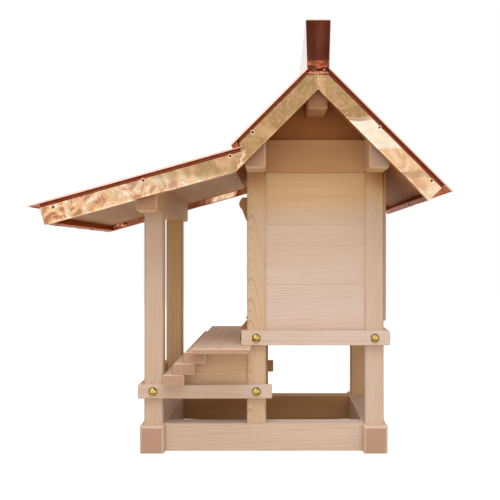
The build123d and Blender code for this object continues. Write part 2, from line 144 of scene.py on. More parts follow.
class ShrineCopper(bpy.types.PropertyGroup):
    """Thin copper sheet, folded by hand over the boards of the roof."""

    bright: colour("Bright copper", "Clean copper", (0.90, 0.53, 0.27))
    # Painted highlight: the palest copper, where the sheet would mirror the lamps.
    painted_highlight: colour("Pale copper", "Copper that catches the most light", (1.0, 0.89, 0.71))
    dull: colour("Dull copper", "Handled, slightly tarnished copper", (0.41, 0.245, 0.10))
    # Painted reflection: the brownish bands of the marbling, where wavy copper would mirror darker
    # surroundings.
    mauve_reflection: colour("Mauve copper", "Brownish bands of the marbling", (0.50, 0.19, 0.095))
    vein: colour("Veins", "Thin pinkish lines in the tarnish", (0.80, 0.50, 0.36))
    rose: colour("Rose copper", "The roof sheets and their hems", (0.64, 0.325, 0.215))
    # Painted shade: the deep red of inner faces, hems and folds that see little light.
    red: colour("Red copper", "Inner faces that see little light", (0.42, 0.075, 0.035))
    # Painted shade: the ridge's ends, the plates under them, the eave nails, and red places that are also
    # dull.
    shade: colour("Dark copper", "Deep brown of the ridge's ends", (0.088, 0.023, 0.0125))
    # Painted reflection: the greyish copper of the eave boards' narrow lower edges.
    lip: colour("Greyish copper", "Narrow lower edges of the eave boards", (0.36, 0.245, 0.22))
    main_pitch: angle("Main pitch", "Slope of the roof over the hall", 45.0)
    porch_pitch: angle("Porch pitch", "Slope of the roof over the porch", 15.6)
    fold_radius: length("Fold radius", "Round of the copper at the edge of a board", 0.0014)
    dent: length("Dents", "Height of the uneven places in the copper", 0.00035)
    hem: length("Hem", "Height of the folded edge of a roof sheet", 0.0019)
    hem_lip: length("Hem lip", "Width of the hem's turned-in lower edge", 0.0012)
    sheet: length("Sheet", "Thickness of copper that shows at an open edge", 0.0009)
    hem_recess: length("Recess", "How far the strip under a sheet lies behind the board below", 0.0008)
    seam_width: length("Seam width", "Width of a crumpled seam", 0.0036)
    seam_height: length("Seam height", "Height of a crumpled seam", 0.0008)
    seam_sway: length("Seam sway", "How far a crumpled seam wanders", 0.0026)
    nail_radius: length("Nail radius", "Radius of a copper nail head", 0.0033)
    nail_height: length("Nail height", "Height of a copper nail head", 0.0010)


class ShrineBrass(bpy.types.PropertyGroup):
    """Domed brass studs."""

    bright: colour("Brass", "Polished brass", (0.62, 0.44, 0.13))
    # Painted shade towards each stud's rim and in a band below its middle, where a dome would mirror darker
    # surroundings; also the small handling marks.
    worn_and_shaded: colour("Worn brass", "Brass towards the rim and in the small hollows", (0.13, 0.065, 0.008))
    head: length("Head", "Diameter of a stud's head on the rails", 0.0125)
    rim: length("Rim", "Thickness of a stud's flat rim", 0.0006)


class ShrineStage(bpy.types.PropertyGroup):
    """Camera, floor and light."""

    eye_x: length("Camera distance", "Distance of the camera from the middle plane", 1.414)
    eye_y: length("Camera place", "Place of the camera along the shrine", 0.05188)
    eye_z: length("Camera height", "Height of the camera over the floor", 0.2882)
    floor: colour("Floor", "Pale floor", (0.62, 0.58, 0.53))
    floor_side: length("Floor side", "Side of the square floor", 9.0)
    floor_white: strength("Floor white", "White that the camera sees added to the lit floor", 0.80)
    floor_fade: length("Floor fade", "Width over which that white fades out under the base", 0.03)
    daylight: strength("Daylight", "Strength of the even light from all around", 0.48)
    daylight_tint: colour("Daylight tint", "Colour of the even light", (1.0, 0.94, 0.86))
    key_power: power("Main lamp", "Power of the large soft lamp overhead", 29.0)
    key_tint: colour("Main lamp tint", "Colour of the lamp overhead", (0.92, 0.97, 1.0))
    wide_power: power("Wide lamp", "Power of the wide lamp behind the camera", 29.5)
    wide_tint: colour("Wide lamp tint", "Colour of the wide lamp", (1.0, 0.985, 0.955))
    far_power: power("Far lamp", "Power of the wide lamp on the far side", 24.0)
    glint_power: power("Glint lamp", "Power of the small lamp that shows in the brass", 6.0)


def grid_faces(rows, columns, closed=False):
    """Quads between neighbouring rows of a point grid; `closed` joins the last column to the first."""
    row = np.arange(rows - 1)[:, None] * columns
    here = np.arange(columns if closed else columns - 1)
    after = (here + 1) % columns
    quads = np.stack([row + here, row + after, row + columns + after, row + columns + here], axis=-1)
    return quads.reshape(-1, 4).tolist()


def band_faces(loops):
    """Quads between neighbouring closed loops of point numbers, an array (loops, points)."""
    after = np.roll(loops, -1, axis=1)
    return np.stack([loops[:-1], after[:-1], after[1:], loops[1:]], axis=-1).reshape(-1, 4).tolist()


def rim_of(rows, columns):
    """Numbers of the points along the border of a point grid, in order."""
    index = np.arange(rows * columns).reshape(rows, columns)
    return np.concatenate([index[0], index[1:, -1], index[-1, -2::-1], index[-2:0:-1, 0]])


def carried(outline, stations, axis=0, swell=None):
    """Rings of a flat outline carried along an axis, swollen about the outline's middle by `swell`."""
    rings = np.empty((len(stations), len(outline), 3))
    rings[:, :, axis] = np.asarray(stations)[:, None]
    if swell is not None:
        middle = outline.mean(axis=0)
        outline = middle + (outline - middle) * swell[:, :, None]
    rings[:, :, [other for other in range(3) if other != axis]] = outline
    return rings


def tube(rings):
    """Closed shell through rings of points, an array (rings, points, 3), with a cap on each end ring."""
    count, around = rings.shape[:2]
    faces = grid_faces(count, around, closed=True)
    caps = np.arange(count * around).reshape(count, around)[[0, -1]].tolist()
    return rings.reshape(-1, 3), faces + caps


def joined(shells):
    """Several shells as one, with the corners of the later faces counted on."""
    counts = [len(points) for points, _ in shells]
    starts = np.concatenate([[0], np.cumsum(counts)[:-1]]).astype(int)
    points = np.concatenate([points for points, _ in shells])
    faces = [[corner + int(start) for corner in face]
             for start, (_, shell) in zip(starts, shells) for face in shell]
    return points, faces


def ripple(first, second, seed, shortest, longest, waves=12):
    """Uneven surface from about -1 to 1: a sum of sine waves with seeded turns, lengths and phases."""
    draw = np.random.default_rng(seed)
    turn, phase = draw.uniform(0, FULL_TURN, (2, waves))
    pitch = FULL_TURN / draw.uniform(shortest, longest, waves)
    across = np.cos(turn) * np.asarray(first)[..., None] + np.sin(turn) * np.asarray(second)[..., None]
    return np.sin(across * pitch + phase).sum(axis=-1) / math.sqrt(2 * waves)


def put_piece(name, shell, materials, replaced=(), sharp=40.0, marks=None, finishes=None):
    """Mesh object from a shell: doubles merged, faces outwards, smooth up to the `sharp` angle.

    `marks` are named values for each point, and `finishes` gives each face its material number.
    """
    points, faces = shell
    mesh = bpy.data.meshes.new(name)
    mesh.from_pydata(points.tolist(), [], faces)
    for mark, values in (marks or {}).items():
        values = values.ravel().astype(np.float32)
        mesh.attributes.new(mark, "FLOAT", "POINT").data.foreach_set("value", values)
    if finishes is not None:
        mesh.polygons.foreach_set("material_index", np.asarray(finishes, np.int32))
    form = bmesh.new()
    form.from_mesh(mesh)
    bmesh.ops.remove_doubles(form, verts=form.verts, dist=MERGE_DISTANCE)
    bmesh.ops.dissolve_degenerate(form, edges=form.edges, dist=MERGE_DISTANCE)
    bmesh.ops.recalc_face_normals(form, faces=form.faces)
    form.to_mesh(mesh)
    form.free()
    mesh.shade_smooth()
    mesh.set_sharp_from_angle(angle=math.radians(sharp))
    for material in materials:
        mesh.materials.append(material)
    piece = bpy.data.objects.new(name, mesh)
    bpy.context.scene.collection.objects.link(piece)
    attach(piece, BODY)
    if replaced:
        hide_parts(*replaced)
    return piece


def rounded(corners, radius, steps=4):
    """Outline of flat points with each corner replaced by an arc that is tangent to its sides."""
    corners = np.asarray(corners, float)
    before = np.roll(corners, 1, axis=0) - corners
    after = np.roll(corners, -1, axis=0) - corners
    before /= np.linalg.norm(before, axis=1, keepdims=True)
    after /= np.linalg.norm(after, axis=1, keepdims=True)
    half = np.arccos(np.clip((before * after).sum(axis=1), -1, 1)) / 2
    middle = before + after
    middle /= np.linalg.norm(middle, axis=1, keepdims=True)
    centre = corners + middle * (radius / np.sin(half))[:, None]
    start = corners + before * (radius / np.tan(half))[:, None] - centre
    end = corners + after * (radius / np.tan(half))[:, None] - centre
    share = np.linspace(0, 1, steps)[None, :, None]
    arc = start[:, None, :] * (1 - share) + end[:, None, :] * share
    arc *= radius / np.linalg.norm(arc, axis=2, keepdims=True)
    return (centre[:, None, :] + arc).reshape(-1, 2)


def corners_of(node):
    """All corners of a solid, as an array of (x, y, z)."""
    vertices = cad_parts[node].data.vertices
    flat = np.empty(len(vertices) * 3, np.float32)
    vertices.foreach_get("co", flat)
    return flat.reshape(-1, 3).astype(float)


def slope_ends(node, pitch):
    """Side view of a sloping board that rises by `pitch` along y, as four (y, z) points.

    They are the low and high end of its lower line, then the low and high end of its upper line,
    counted along the direction (cos pitch, sin pitch).
    """
    side_view = corners_of(node)[:, 1:]
    along = side_view @ np.array([math.cos(pitch), math.sin(pitch)])
    above = side_view @ np.array([-math.sin(pitch), math.cos(pitch)])
    ends = []
    for on_plane in (above < above.min() + PLANE_TOLERANCE, above > above.max() - PLANE_TOLERANCE):
        rows = np.flatnonzero(on_plane)
        ends += [side_view[rows[np.argmin(along[rows])]], side_view[rows[np.argmax(along[rows])]]]
    return ends


class Roof:
    """Places of the roof's edges, read from the solids."""

    def __init__(self, copper):
        main, porch = copper.main_pitch, copper.porch_pitch
        self.foot, self.apex, self.eave, self.front_seat = slope_ends("front_verge_boards", main)
        _, self.back_low, self.back_seat, self.back_high = slope_ends("back_verge_boards", -main)
        self.porch_low, _, self.porch_high, self.cut = slope_ends("porch_verge_boards", porch)
        self.ridge_y = self.apex[0]
        self.seat = np.array([self.ridge_y, self.front_seat[1]])
        self.verge_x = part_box("front_verge_boards")[1].x
        self.board_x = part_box("porch_eave_board")[1].x
        self.sheet_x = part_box("front_roof_sheet")[1].x
        self.verges = {
            "front": ([self.apex, self.foot], [self.seat, self.front_seat, self.eave, self.cut]),
            "back": ([self.apex, self.back_low], [self.seat, self.back_seat, self.back_high]),
            "porch": ([self.foot, self.porch_low], [self.cut, self.porch_high]),
        }


class Graph:
    """Short way to write a material or a world: a socket is linked, and a number or a colour is set."""

    def __init__(self, name, kind="materials", shader="Principled BSDF"):
        self.owner = getattr(bpy.data, kind).new(name)
        self.owner.use_nodes = True
        self.tree = self.owner.node_tree
        self.shader = self.tree.nodes[shader]

    def feed(self, socket, value):
        """Link a socket, or set its number, vector or colour."""
        if isinstance(value, bpy.types.NodeSocket):
            self.tree.links.new(value, socket)
        elif socket.type == "RGBA" and len(value) == 3:
            socket.default_value = (*value, 1.0)
        else:
            socket.default_value = value

    def node(self, kind, settings=None, **inputs):
        """A node with its settings and its inputs by name, underscores read as spaces."""
        node = self.tree.nodes.new("ShaderNode" + kind)
        for setting, value in (settings or {}).items():
            setattr(node, setting, value)
        for socket, value in inputs.items():
            self.feed(node.inputs[socket.replace("_", " ")], value)
        return node

    def math(self, operation, *values):
        """Result of a Math node."""
        node = self.node("Math", {"operation": operation})
        for socket, value in zip(node.inputs, values):
            self.feed(socket, value)
        return node.outputs[0]

    def mix(self, share, first, second):
        """Colour between two colours."""
        node = self.node("Mix", {"data_type": "RGBA"})
        for socket, value in zip((node.inputs[0], node.inputs[6], node.inputs[7]), (share, first, second)):
            self.feed(socket, value)
        return node.outputs[2]

    def fit(self, value, low, high, to_low=0.0, to_high=1.0):
        """Smooth step of a value from one range to another."""
        node = self.node("MapRange", {"interpolation_type": "SMOOTHSTEP"}, Value=value)
        for socket, bound in zip(node.inputs[1:5], (low, high, to_low, to_high)):
            self.feed(socket, bound)
        return node.outputs[0]

    def noise(self, place, scale, detail=2.0, distortion=0.0, stretch=(1, 1, 1), shift=(0, 0, 0)):
        """Noise from 0 to 1, `scale` spots a metre, stretched and shifted by a mapping."""
        spot = self.node("Mapping", Vector=place, Scale=stretch, Location=shift).outputs[0]
        node = self.node("TexNoise", Vector=spot, Scale=scale, Detail=detail, Distortion=distortion)
        return node.outputs["Fac"]

    def bump(self, height, distance, strength=1.0):
        """Feed the shader's normal with a bump."""
        node = self.node("Bump", Height=height, Distance=distance, Strength=strength)
        self.feed(self.shader.inputs["Normal"], node.outputs[0])

    def surface(self, **inputs):
        """Feed the shader by name."""
        for socket, value in inputs.items():
            self.feed(self.shader.inputs[socket.replace("_", " ")], value)
        return self.owner

    def place(self):
        """Place of a point in its piece."""
        return self.node("TexCoord").outputs["Object"]

    def mark(self, name):
        """Named value of a piece's points."""
        return self.node("Attribute", {"attribute_name": name}).outputs["Fac"]

    def seen(self):
        """One for rays that come from the camera, or from it by way of metal or glass."""
        path = self.node("LightPath").outputs
        seen = self.math("MAXIMUM", path["Is Camera Ray"], path["Is Glossy Ray"])
        return self.math("MAXIMUM", seen, path["Is Transmission Ray"])


# Heights between which painted shade turns the wood browner under the eaves, on the posts and the back
# wall, in metres.
EAVES_SHADE = (0.335, 0.410)


def cypress(name, timber, grain, pith, lean=(0.0, 0.0), taper=0.0, rings=1.0, lines=0.36,
            tone=0.5, left=None, head=0.0, sawn="end_grain", boards=False):
    """Planed cypress whose grain runs along one axis (0, 1 or 2).

    Growth rings are shells around the pith, a line that crosses the other two axes at `pith`, leans by
    `lean` along the grain, and shells that narrow by `taper`, so that a face shows lines or arches and
    the ends show arcs. `tone` goes from heartwood at -1 over straw at 0 to blush at 1, and low tones on
    the pieces under the roofs are painted shade. `left` is the tone in the left half, a painted shade of
    the far side, `head` is how far the tone falls under the eaves, a painted shade that also darkens the
    sawn ends there, `sawn` names the colour of the sawn ends, and `boards` takes the tone from each
    board's own mark.
    """
    g = Graph(name)
    point = g.node("TexCoord")
    place = point.outputs["Object"]
    axes = g.node("SeparateXYZ", Vector=place).outputs
    sides = [axes[axis] for axis in range(3) if axis != grain]
    offsets = []
    for side, start, slope in zip(sides, pith, lean):
        line = g.math("MULTIPLY_ADD", axes[grain], slope, start)
        offsets.append(g.math("SUBTRACT", side, line))
    apart = g.node("CombineXYZ", X=offsets[0], Y=offsets[1]).outputs[0]
    radius = g.node("VectorMath", {"operation": "LENGTH"}, Vector=apart).outputs["Value"]
    slow = [0.12 if axis == grain else 1.0 for axis in range(3)]
    sway = g.noise(place, 22.0, 2.0, stretch=slow)
    radius = g.math("MULTIPLY_ADD", axes[grain], taper, radius)
    years = g.math("DIVIDE", g.math("MULTIPLY_ADD", sway, 0.008, radius), timber.ring_width * rings)
    weight = g.node("TexWhiteNoise", {"noise_dimensions": "1D"}, W=g.math("FLOOR", years)).outputs["Value"]
    season = g.math("POWER", g.math("FRACT", years), 3.5)
    line = g.math("MULTIPLY", season, g.fit(weight, 0.0, 1.0, 0.2, 1.0))
    thin = [0.02 if axis == grain else 1.0 for axis in range(3)]
    fibre = g.noise(place, 900.0, 3.0, stretch=thin)
    patch = g.noise(place, 16.0, 2.0, stretch=slow, shift=(pith[0] * 7, 0.3, pith[1] * 5))
    drift = g.fit(patch, 0.3, 0.7, -0.18, 0.18)
    if boards:
        own = g.mark("tone")
    else:
        # The left half takes the `left` tone, a painted shade of the far side.
        own = g.fit(axes[0], 0.02, -0.02, tone, tone if left is None else left)
    # Painted shade under the eaves: the tone falls by `head` between the heights of EAVES_SHADE.
    shaded = g.fit(axes[2], *EAVES_SHADE) if head else 0.0
    own = g.math("MULTIPLY_ADD", shaded, -head, own)
    tint = g.math("ADD", own, drift)
    base = g.mix(g.fit(tint, 0.5, 1.0), timber.pale, timber.blush)
    base = g.mix(g.fit(tint, 0.5, 0.0), base, timber.straw)
    base = g.mix(g.fit(tint, 0.0, -1.0), base, timber.heart_and_shade)
    base = g.mix(g.math("MULTIPLY", line, lines), base, timber.late)
    base = g.mix(g.fit(fibre, 0.42, 0.70, 0.0, 0.16), base, timber.late)
    normal = g.node("SeparateXYZ", Vector=point.outputs["Normal"]).outputs[grain]
    end = g.fit(g.math("ABSOLUTE", normal), 0.75, 0.95)
    cut = g.mix(g.math("MULTIPLY", line, 0.60), getattr(timber, sawn), timber.late)
    # Painted shade under the eaves on the sawn ends too.
    cut = g.mix(shaded, cut, timber.heart_and_shade)
    base = g.mix(g.math("MULTIPLY", end, 0.68), base, cut)
    g.bump(g.math("MULTIPLY_ADD", line, 0.5, fibre), 0.00012, 0.5)
    rough = g.fit(fibre, 0.2, 0.8, 0.46, 0.64)
    return g.surface(Base_Color=base, Roughness=rough, Specular_IOR_Level=0.03)


def copper_sheet(name, copper, clean, uneven=1.0):
    """Thin folded copper: clean and tarnished places, painted highlights, marbling that is a painted
    reflection, thin veins and soft dents.

    Four attributes from 0 to 1 steer it: "dull" is tarnish, and painted shade where it meets "red";
    "pale" is a painted highlight; "swirl" is how strongly the painted reflection marbles
    it; and "red" marks the inner faces, painted deep red as shade.
    """
    g = Graph(name)
    place = g.place()
    dull, pale, swirl, red = (g.mark(mark) for mark in COPPER_MARKS)
    flow = g.noise(place, 26.0, 4.0, distortion=3.2)
    clouds = g.noise(place, 30.0, 3.0, distortion=1.0, shift=(0.2, 0.7, 0.1))
    wave = g.math("PINGPONG", g.math("MULTIPLY", flow, 5.0), 1.0)
    # The marbling is a painted reflection of wavy copper, in mauve, clean and highlight bands with thin
    # mauve creases.
    painted_marbling = g.mix(g.fit(flow, 0.38, 0.50), copper.mauve_reflection, clean)
    painted_marbling = g.mix(g.fit(flow, 0.53, 0.66), painted_marbling, copper.painted_highlight)
    painted_marbling = g.mix(g.fit(wave, 0.20, 0.0, 0.0, 0.7), painted_marbling, copper.mauve_reflection)
    painted_marbling = g.mix(g.fit(wave, 0.80, 1.0, 0.0, 0.8), painted_marbling, copper.painted_highlight)
    crease = g.math("ABSOLUTE", g.math("SUBTRACT", g.noise(place, 75.0, 3.0, distortion=2.6), 0.5))
    painted_marbling = g.mix(g.fit(crease, 0.035, 0.0, 0.0, 0.55), painted_marbling, copper.mauve_reflection)
    base = g.mix(swirl, clean, painted_marbling)
    tarnish = g.math("ADD", dull, g.fit(clouds, 0.3, 0.7, -0.22, 0.22))
    base = g.mix(g.fit(tarnish, 0.1, 0.8), base, copper.dull)
    grit = g.noise(place, 260.0, 3.0, distortion=0.8)
    veins = g.math("MULTIPLY", g.fit(grit, 0.5, 0.68), g.fit(dull, 0.2, 0.7, 0.05, 0.45))
    base = g.mix(veins, base, copper.vein)
    # Painted highlight in the pale places.
    base = g.mix(g.math("MULTIPLY", pale, g.fit(wave, 0.0, 0.5, 0.8, 1.0)), base, copper.painted_highlight)
    # Painted shade: red where the red mark is, darker towards the shade colour where it is also dull.
    deep = g.math("MULTIPLY", red, g.fit(clouds, 0.25, 0.7, 1.0, 0.82))
    base = g.mix(deep, base, g.mix(dull, copper.red, copper.shade))
    smudge = g.noise(place, 60.0, 3.0)
    rough = g.fit(smudge, 0.3, 0.8, 0.05 + 0.08 * uneven, 0.06 + 0.16 * uneven)
    rough = g.math("MULTIPLY_ADD", g.math("MAXIMUM", dull, red), 0.16 * uneven, rough)
    g.bump(g.noise(place, 48.0, 1.5, distortion=0.6), 0.0014, 0.3 * uneven)
    edge = g.mix(red, WHITE, copper.vein)
    return g.surface(Base_Color=base, Roughness=rough, Metallic=1.0, Specular_Tint=edge)


def streaked_copper(name, dark):
    """Copper of one colour with faint streaks of a lighter one, as on the ridge's ends."""
    g = Graph(name)
    place = g.place()
    streak = g.noise(place, 70.0, 2.0, stretch=(1, 1, 0.25))
    lighter = tuple(min(1.0, 1.9 * part) for part in dark)
    base = g.mix(g.fit(streak, 0.35, 0.75), dark, lighter)
    rough = g.fit(streak, 0.2, 0.8, 0.22, 0.34)
    g.bump(streak, 0.0006, 0.3)
    return g.surface(Base_Color=base, Roughness=rough, Metallic=1.0, Specular_Tint=dark)


def stud_brass(name, brass):
    """Polished brass with small handling marks, and painted shade towards the rim and in a band below the
    middle of each dome.
    """
    g = Graph(name)
    place = g.place()
    mark = g.noise(place, 420.0, 3.0)
    rim, fall = g.mark("rim"), g.mark("fall")
    # Painted shade: a band below the middle of the dome and the rim, plus handling marks.
    lower_shade = g.math("MULTIPLY", g.fit(fall, -0.08, 0.12), g.fit(fall, 0.42, 0.22, 0.35, 0.8))
    wear_and_shade = g.math("ADD", g.math("MAXIMUM", rim, lower_shade), g.fit(mark, 0.3, 0.8, -0.2, 0.2))
    base = g.mix(g.fit(wear_and_shade, 0.25, 0.95), brass.bright, brass.worn_and_shaded)
    rough = g.fit(mark, 0.3, 0.8, 0.16, 0.30)
    edge = g.mix(g.fit(rim, 0.3, 0.9), WHITE, brass.worn_and_shaded)
    return g.surface(Base_Color=base, Roughness=rough, Metallic=1.0, Specular_Tint=edge)


def finish(name, make, *settings, **options):
    """A material by name, made the first time it is asked for."""
    return bpy.data.materials.get(name) or make(name, *settings, **options)


def gold_finish(copper):
    """The golden copper of the verge boards."""
    return finish("gold_copper", copper_sheet, copper, tuple(copper.bright))


def rose_finish(copper):
    """The rose copper of the roof sheets and the eave boards."""
    return finish("rose_copper", copper_sheet, copper, tuple(copper.rose))


def dark_finish(copper):
    """Painted shade: the dark copper of the ridge's ends, the plates under them and the eave nails."""
    return finish("dark_ridge_copper", streaked_copper, tuple(copper.shade))


def dress(node, material):
    """Give a solid one material."""
    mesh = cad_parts[node].data
    mesh.materials.clear()
    mesh.materials.append(material)
    mesh.polygons.foreach_set("material_index", np.zeros(len(mesh.polygons), np.int32))


# Timber by finish: its nodes and how the wood has grown. The low tones of the ties, gables, purlin and roof
# boards, the `left` tones and `head` are painted shade of places that lie in shade.
X_AXIS, Y_AXIS, Z_AXIS = 0, 1, 2
TIMBER = {
    "cypress_straight_posts": (
        ("front_right_post", "front_left_post", "back_left_post"),
        {"grain": Z_AXIS, "pith": (0.30, 0.05), "tone": 0.50, "left": 0.08}),
    "cypress_slanting_post": (
        ("back_right_post",),
        {"grain": Z_AXIS, "pith": (0.16, 0.24), "lean": (0.0, 0.28), "lines": 0.55, "tone": 0.55,
         "head": 1.35}),
    "cypress_arched_posts": (
        ("middle_right_post", "middle_left_post"),
        {"grain": Z_AXIS, "pith": (0.135, 0.010), "lean": (-0.03, 0.004), "taper": 0.14, "rings": 0.85,
         "lines": 0.80, "tone": 0.43, "head": 1.0}),
    "cypress_side_beams": (
        ("base_side_beams",),
        {"grain": Y_AXIS, "pith": (0.160, -0.035), "lean": (0.03, 0.05), "rings": 1.7, "tone": 0.75,
         "left": -0.42}),
    "cypress_upper_rails": (
        ("upper_side_rails",),
        {"grain": Y_AXIS, "pith": (0.30, 0.04), "lean": (0.01, 0.02), "rings": 1.3, "tone": 0.9,
         "left": 0.0}),
    "cypress_lower_rails": (
        ("lower_side_rails",),
        {"grain": Y_AXIS, "pith": (0.28, 0.06), "lean": (0.01, 0.02), "rings": 1.3, "tone": 0.78,
         "left": 0.0}),
    "cypress_stair_sides": (
        ("stair_side_boards",),
        {"grain": Y_AXIS, "pith": (0.20, 0.40), "lean": (0.0, 0.03), "rings": 1.5, "tone": 0.35,
         "left": 0.0}),
    "cypress_ties": (
        ("tie_boards",),
        {"grain": Y_AXIS, "pith": (0.20, -0.42), "lean": (0.0, 0.01), "rings": 1.5, "tone": -0.38}),
    "cypress_gables": (
        ("gable_boards",),
        {"grain": Y_AXIS, "pith": (0.20, 1.42), "lean": (0.0, 0.01), "rings": 1.5, "tone": -1.0}),
    "cypress_cross_beams": (
        ("base_front_beam", "base_back_beam", "lower_front_rail", "upper_front_rail", "upper_back_rail"),
        {"grain": X_AXIS, "pith": (-0.145, -0.012), "lean": (0.02, 0.02), "rings": 1.2, "tone": 0.60}),
    "cypress_plates": (
        ("porch_plate", "hall_front_plate"),
        {"grain": X_AXIS, "pith": (0.10, 0.60), "lean": (0.0, 0.02), "rings": 0.8, "tone": 0.15}),
    "cypress_back_plate": (
        ("hall_back_plate",),
        {"grain": X_AXIS, "pith": (0.16, 0.44), "rings": 0.8, "tone": 0.0, "sawn": "grey_end"}),
    "cypress_purlin": (
        ("ridge_purlin",),
        {"grain": X_AXIS, "pith": (0.10, 0.60), "lean": (0.0, 0.02), "rings": 0.8, "tone": -0.65}),
    "cypress_steps": (
        ("bottom_step", "middle_step", "top_step", "deck_board"),
        {"grain": X_AXIS, "pith": (-0.06, 0.02), "lean": (0.01, 0.0), "rings": 0.8, "tone": 0.45}),
    "cypress_porch_roof": (
        ("porch_roof_board",),
        {"grain": X_AXIS, "pith": (0.0, 0.9), "lean": (0.02, 0.02), "rings": 1.4, "tone": -0.5}),
    "cypress_main_roof": (
        ("front_roof_board", "back_roof_board"),
        {"grain": X_AXIS, "pith": (0.0, 0.9), "lean": (0.02, 0.02), "rings": 1.4, "tone": -1.0}),
    "cypress_hall": (
        ("hall_floor", "door_head"),
        {"grain": X_AXIS, "pith": (0.30, 0.55), "lean": (0.01, 0.02), "rings": 1.6, "tone": 0.45}),
    "cypress_back_wall": (
        ("back_wall",),
        {"grain": X_AXIS, "pith": (0.30, 0.55), "lean": (0.01, 0.02), "rings": 1.6, "tone": 0.45,
         "head": 1.6, "sawn": "painted_shade_end"}),
    "cypress_doors": (
        ("right_door", "left_door"),
        {"grain": Z_AXIS, "pith": (0.02, 0.25), "lean": (0.04, 0.0), "rings": 1.1, "tone": 0.4}),
    "cypress_pivot_blocks": (
        ("door_pivot_blocks",),
        {"grain": Z_AXIS, "pith": (0.0, 0.3), "rings": 0.9, "tone": -0.6}),
}


class SHRINE_OT_timber(bpy.types.Operator):
    """Give every timber solid its grain"""

    bl_idname = "shrine.timber"
    bl_label = "Dress the timber"

    def execute(self, context):
        timber = context.scene.shrine_timber
        for name, (nodes, growth) in TIMBER.items():
            wood = finish(name, cypress, timber, **growth)
            for node in nodes:
                dress(node, wood)
        return {"FINISHED"}


# Tone of each lying board of a side wall at its lower and upper edge, from the bottom up. The boards differ
# in tone, and each grows darker towards its top, the top board most of all: that fall is painted shade
# under the eaves.
WALL_TONES = ((0.98, 0.90), (0.80, 0.62), (0.50, -0.42))


def board_shell(low, high, ease):
    """Lying wall board between two corners: a bevelled upright outline carried along y."""
    outline = rounded([(low[0], low[2]), (high[0], low[2]), (high[0], high[2]), (low[0], high[2])], ease, 2)
    return tube(carried(outline, (low[1], high[1]), axis=1))


class SHRINE_OT_wall_boards(bpy.types.Operator):
    """Make each side wall of lying boards with open joints"""

    bl_idname = "shrine.wall_boards"
    bl_label = "Board the side walls"

    def execute(self, context):
        timber = context.scene.shrine_timber
        wood = finish("cypress_wall_boards", cypress, timber, Y_AXIS, (0.20, -0.9), (0.0, 0.02), rings=1.2,
                      lines=0.30, boards=True)
        for node in ("right_side_wall", "left_side_wall"):
            low, high = (np.array(corner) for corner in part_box(node))
            edges = np.append(np.arange(low[2], high[2], timber.board_width), high[2])
            shells = []
            tones = []
            for bottom, top, tone in zip(edges[:-1], edges[1:], WALL_TONES):
                lower = np.array([low[0], low[1], bottom])
                upper = np.array([high[0], high[1], top - timber.board_gap])
                shells.append(board_shell(lower, upper, timber.board_ease))
                tones.append(np.interp(shells[-1][0][:, 2], (bottom, top), tone))
            put_piece(node.replace("wall", "boards"), joined(shells), [wood], [node],
                      sharp=20.0, marks={"tone": np.concatenate(tones)})
        return {"FINISHED"}


# Looks of each verge board as (share of its height from the top, value). The pale zones are painted
# highlights, the marbling is painted reflection, and the dull zones are partly tarnish and partly painted
# darker reflection.
VERGE_LOOKS = {
    "front": {
        "dull": ((0.0, 0.60), (0.45, 0.74), (0.85, 0.70), (1.0, 0.30)),
        "pale": ((0.0, 0.0), (0.85, 0.0), (1.0, 0.3)),
        "swirl": ((0.0, 0.1), (0.75, 0.15), (1.0, 0.6)),
    },
    "back": {
        "dull": ((0.0, 0.58), (0.32, 0.70), (0.34, 0.40), (0.352, 0.62), (0.368, 0.0), (0.58, 0.0),
                 (0.59, -0.1), (0.76, -0.05), (0.78, 0.60), (0.82, 0.60), (0.84, 0.10), (1.0, 0.05)),
        "pale": ((0.0, 0.0), (0.32, 0.0), (0.34, 0.3), (0.352, 0.0), (0.368, 0.95), (0.58, 0.85),
                 (0.59, 0.1), (0.83, 0.1), (1.0, 0.3)),
        "swirl": ((0.0, 0.1), (0.34, 0.2), (0.37, 0.1), (0.59, 0.3), (1.0, 0.55)),
    },
    "porch": {
        "dull": ((0.0, 0.38), (0.08, 0.56), (0.30, 0.54), (0.42, 0.18), (0.7, 0.08), (0.85, 0.28),
                 (1.0, 0.48)),
        "pale": ((0.0, 0.3), (0.1, 0.0), (0.3, 0.05), (0.5, 0.22), (0.75, 0.0), (1.0, 0.0)),
        "swirl": ((0.0, 0.5), (0.1, 0.25), (0.32, 0.3), (0.42, 0.9), (1.0, 1.0)),
    },
}
VERGE_STATIONS = 240
FACE_STEPS = 18
# Width over which the looks of a verge board's edge turn into those of its inner face, in metres.
EDGE_STRIP = 0.0003
VERGE_SEED, ZONE_SEED = 11, 83
VERGE_WAVES = (0.018, 0.075)
ZONE_WAVES = (0.03, 0.09)
ZONE_SWAY = 0.014
# The inner faces of the verge boards: a little dull and deep red, painted shade.
INNER_DULL, INNER_RED = 0.1, 0.75
# Bright wedge on the inner face of each porch verge board, where the painted red shade gives way to clean
# copper: where it starts and ends along y at the board's lower edge, how much later it starts per metre
# over that edge, how soft its border is, how far the lower edge is bent out there, so that the copper
# mirrors the open air, how high the painted shade along the fold under it is, and how pale the painted
# highlight on the inner faces is.
GLOW_START, GLOW_END = -0.086, -0.029
GLOW_LEAN = 3.7
GLOW_SOFT = 0.006
GLOW_BEND = 0.0022
GLOW_FOLD = 0.0026
GLOW_PALE = 0.3


def along(line, shares):
    """Points at shares of a polyline's length."""
    line = np.asarray(line)
    steps = np.linalg.norm(np.diff(line, axis=0), axis=1)
    knots = np.concatenate([[0], np.cumsum(steps)]) / steps.sum()
    return np.stack([np.interp(shares, knots, line[:, axis]) for axis in range(line.shape[1])], axis=-1)


def with_knots(line, count):
    """Even shares of a polyline's length, with its own corners among them."""
    line = np.asarray(line)
    steps = np.linalg.norm(np.diff(line, axis=0), axis=1)
    knots = np.cumsum(steps) / steps.sum()
    return np.unique(np.concatenate([np.linspace(0, 1, count), knots[:-1]]).round(6))


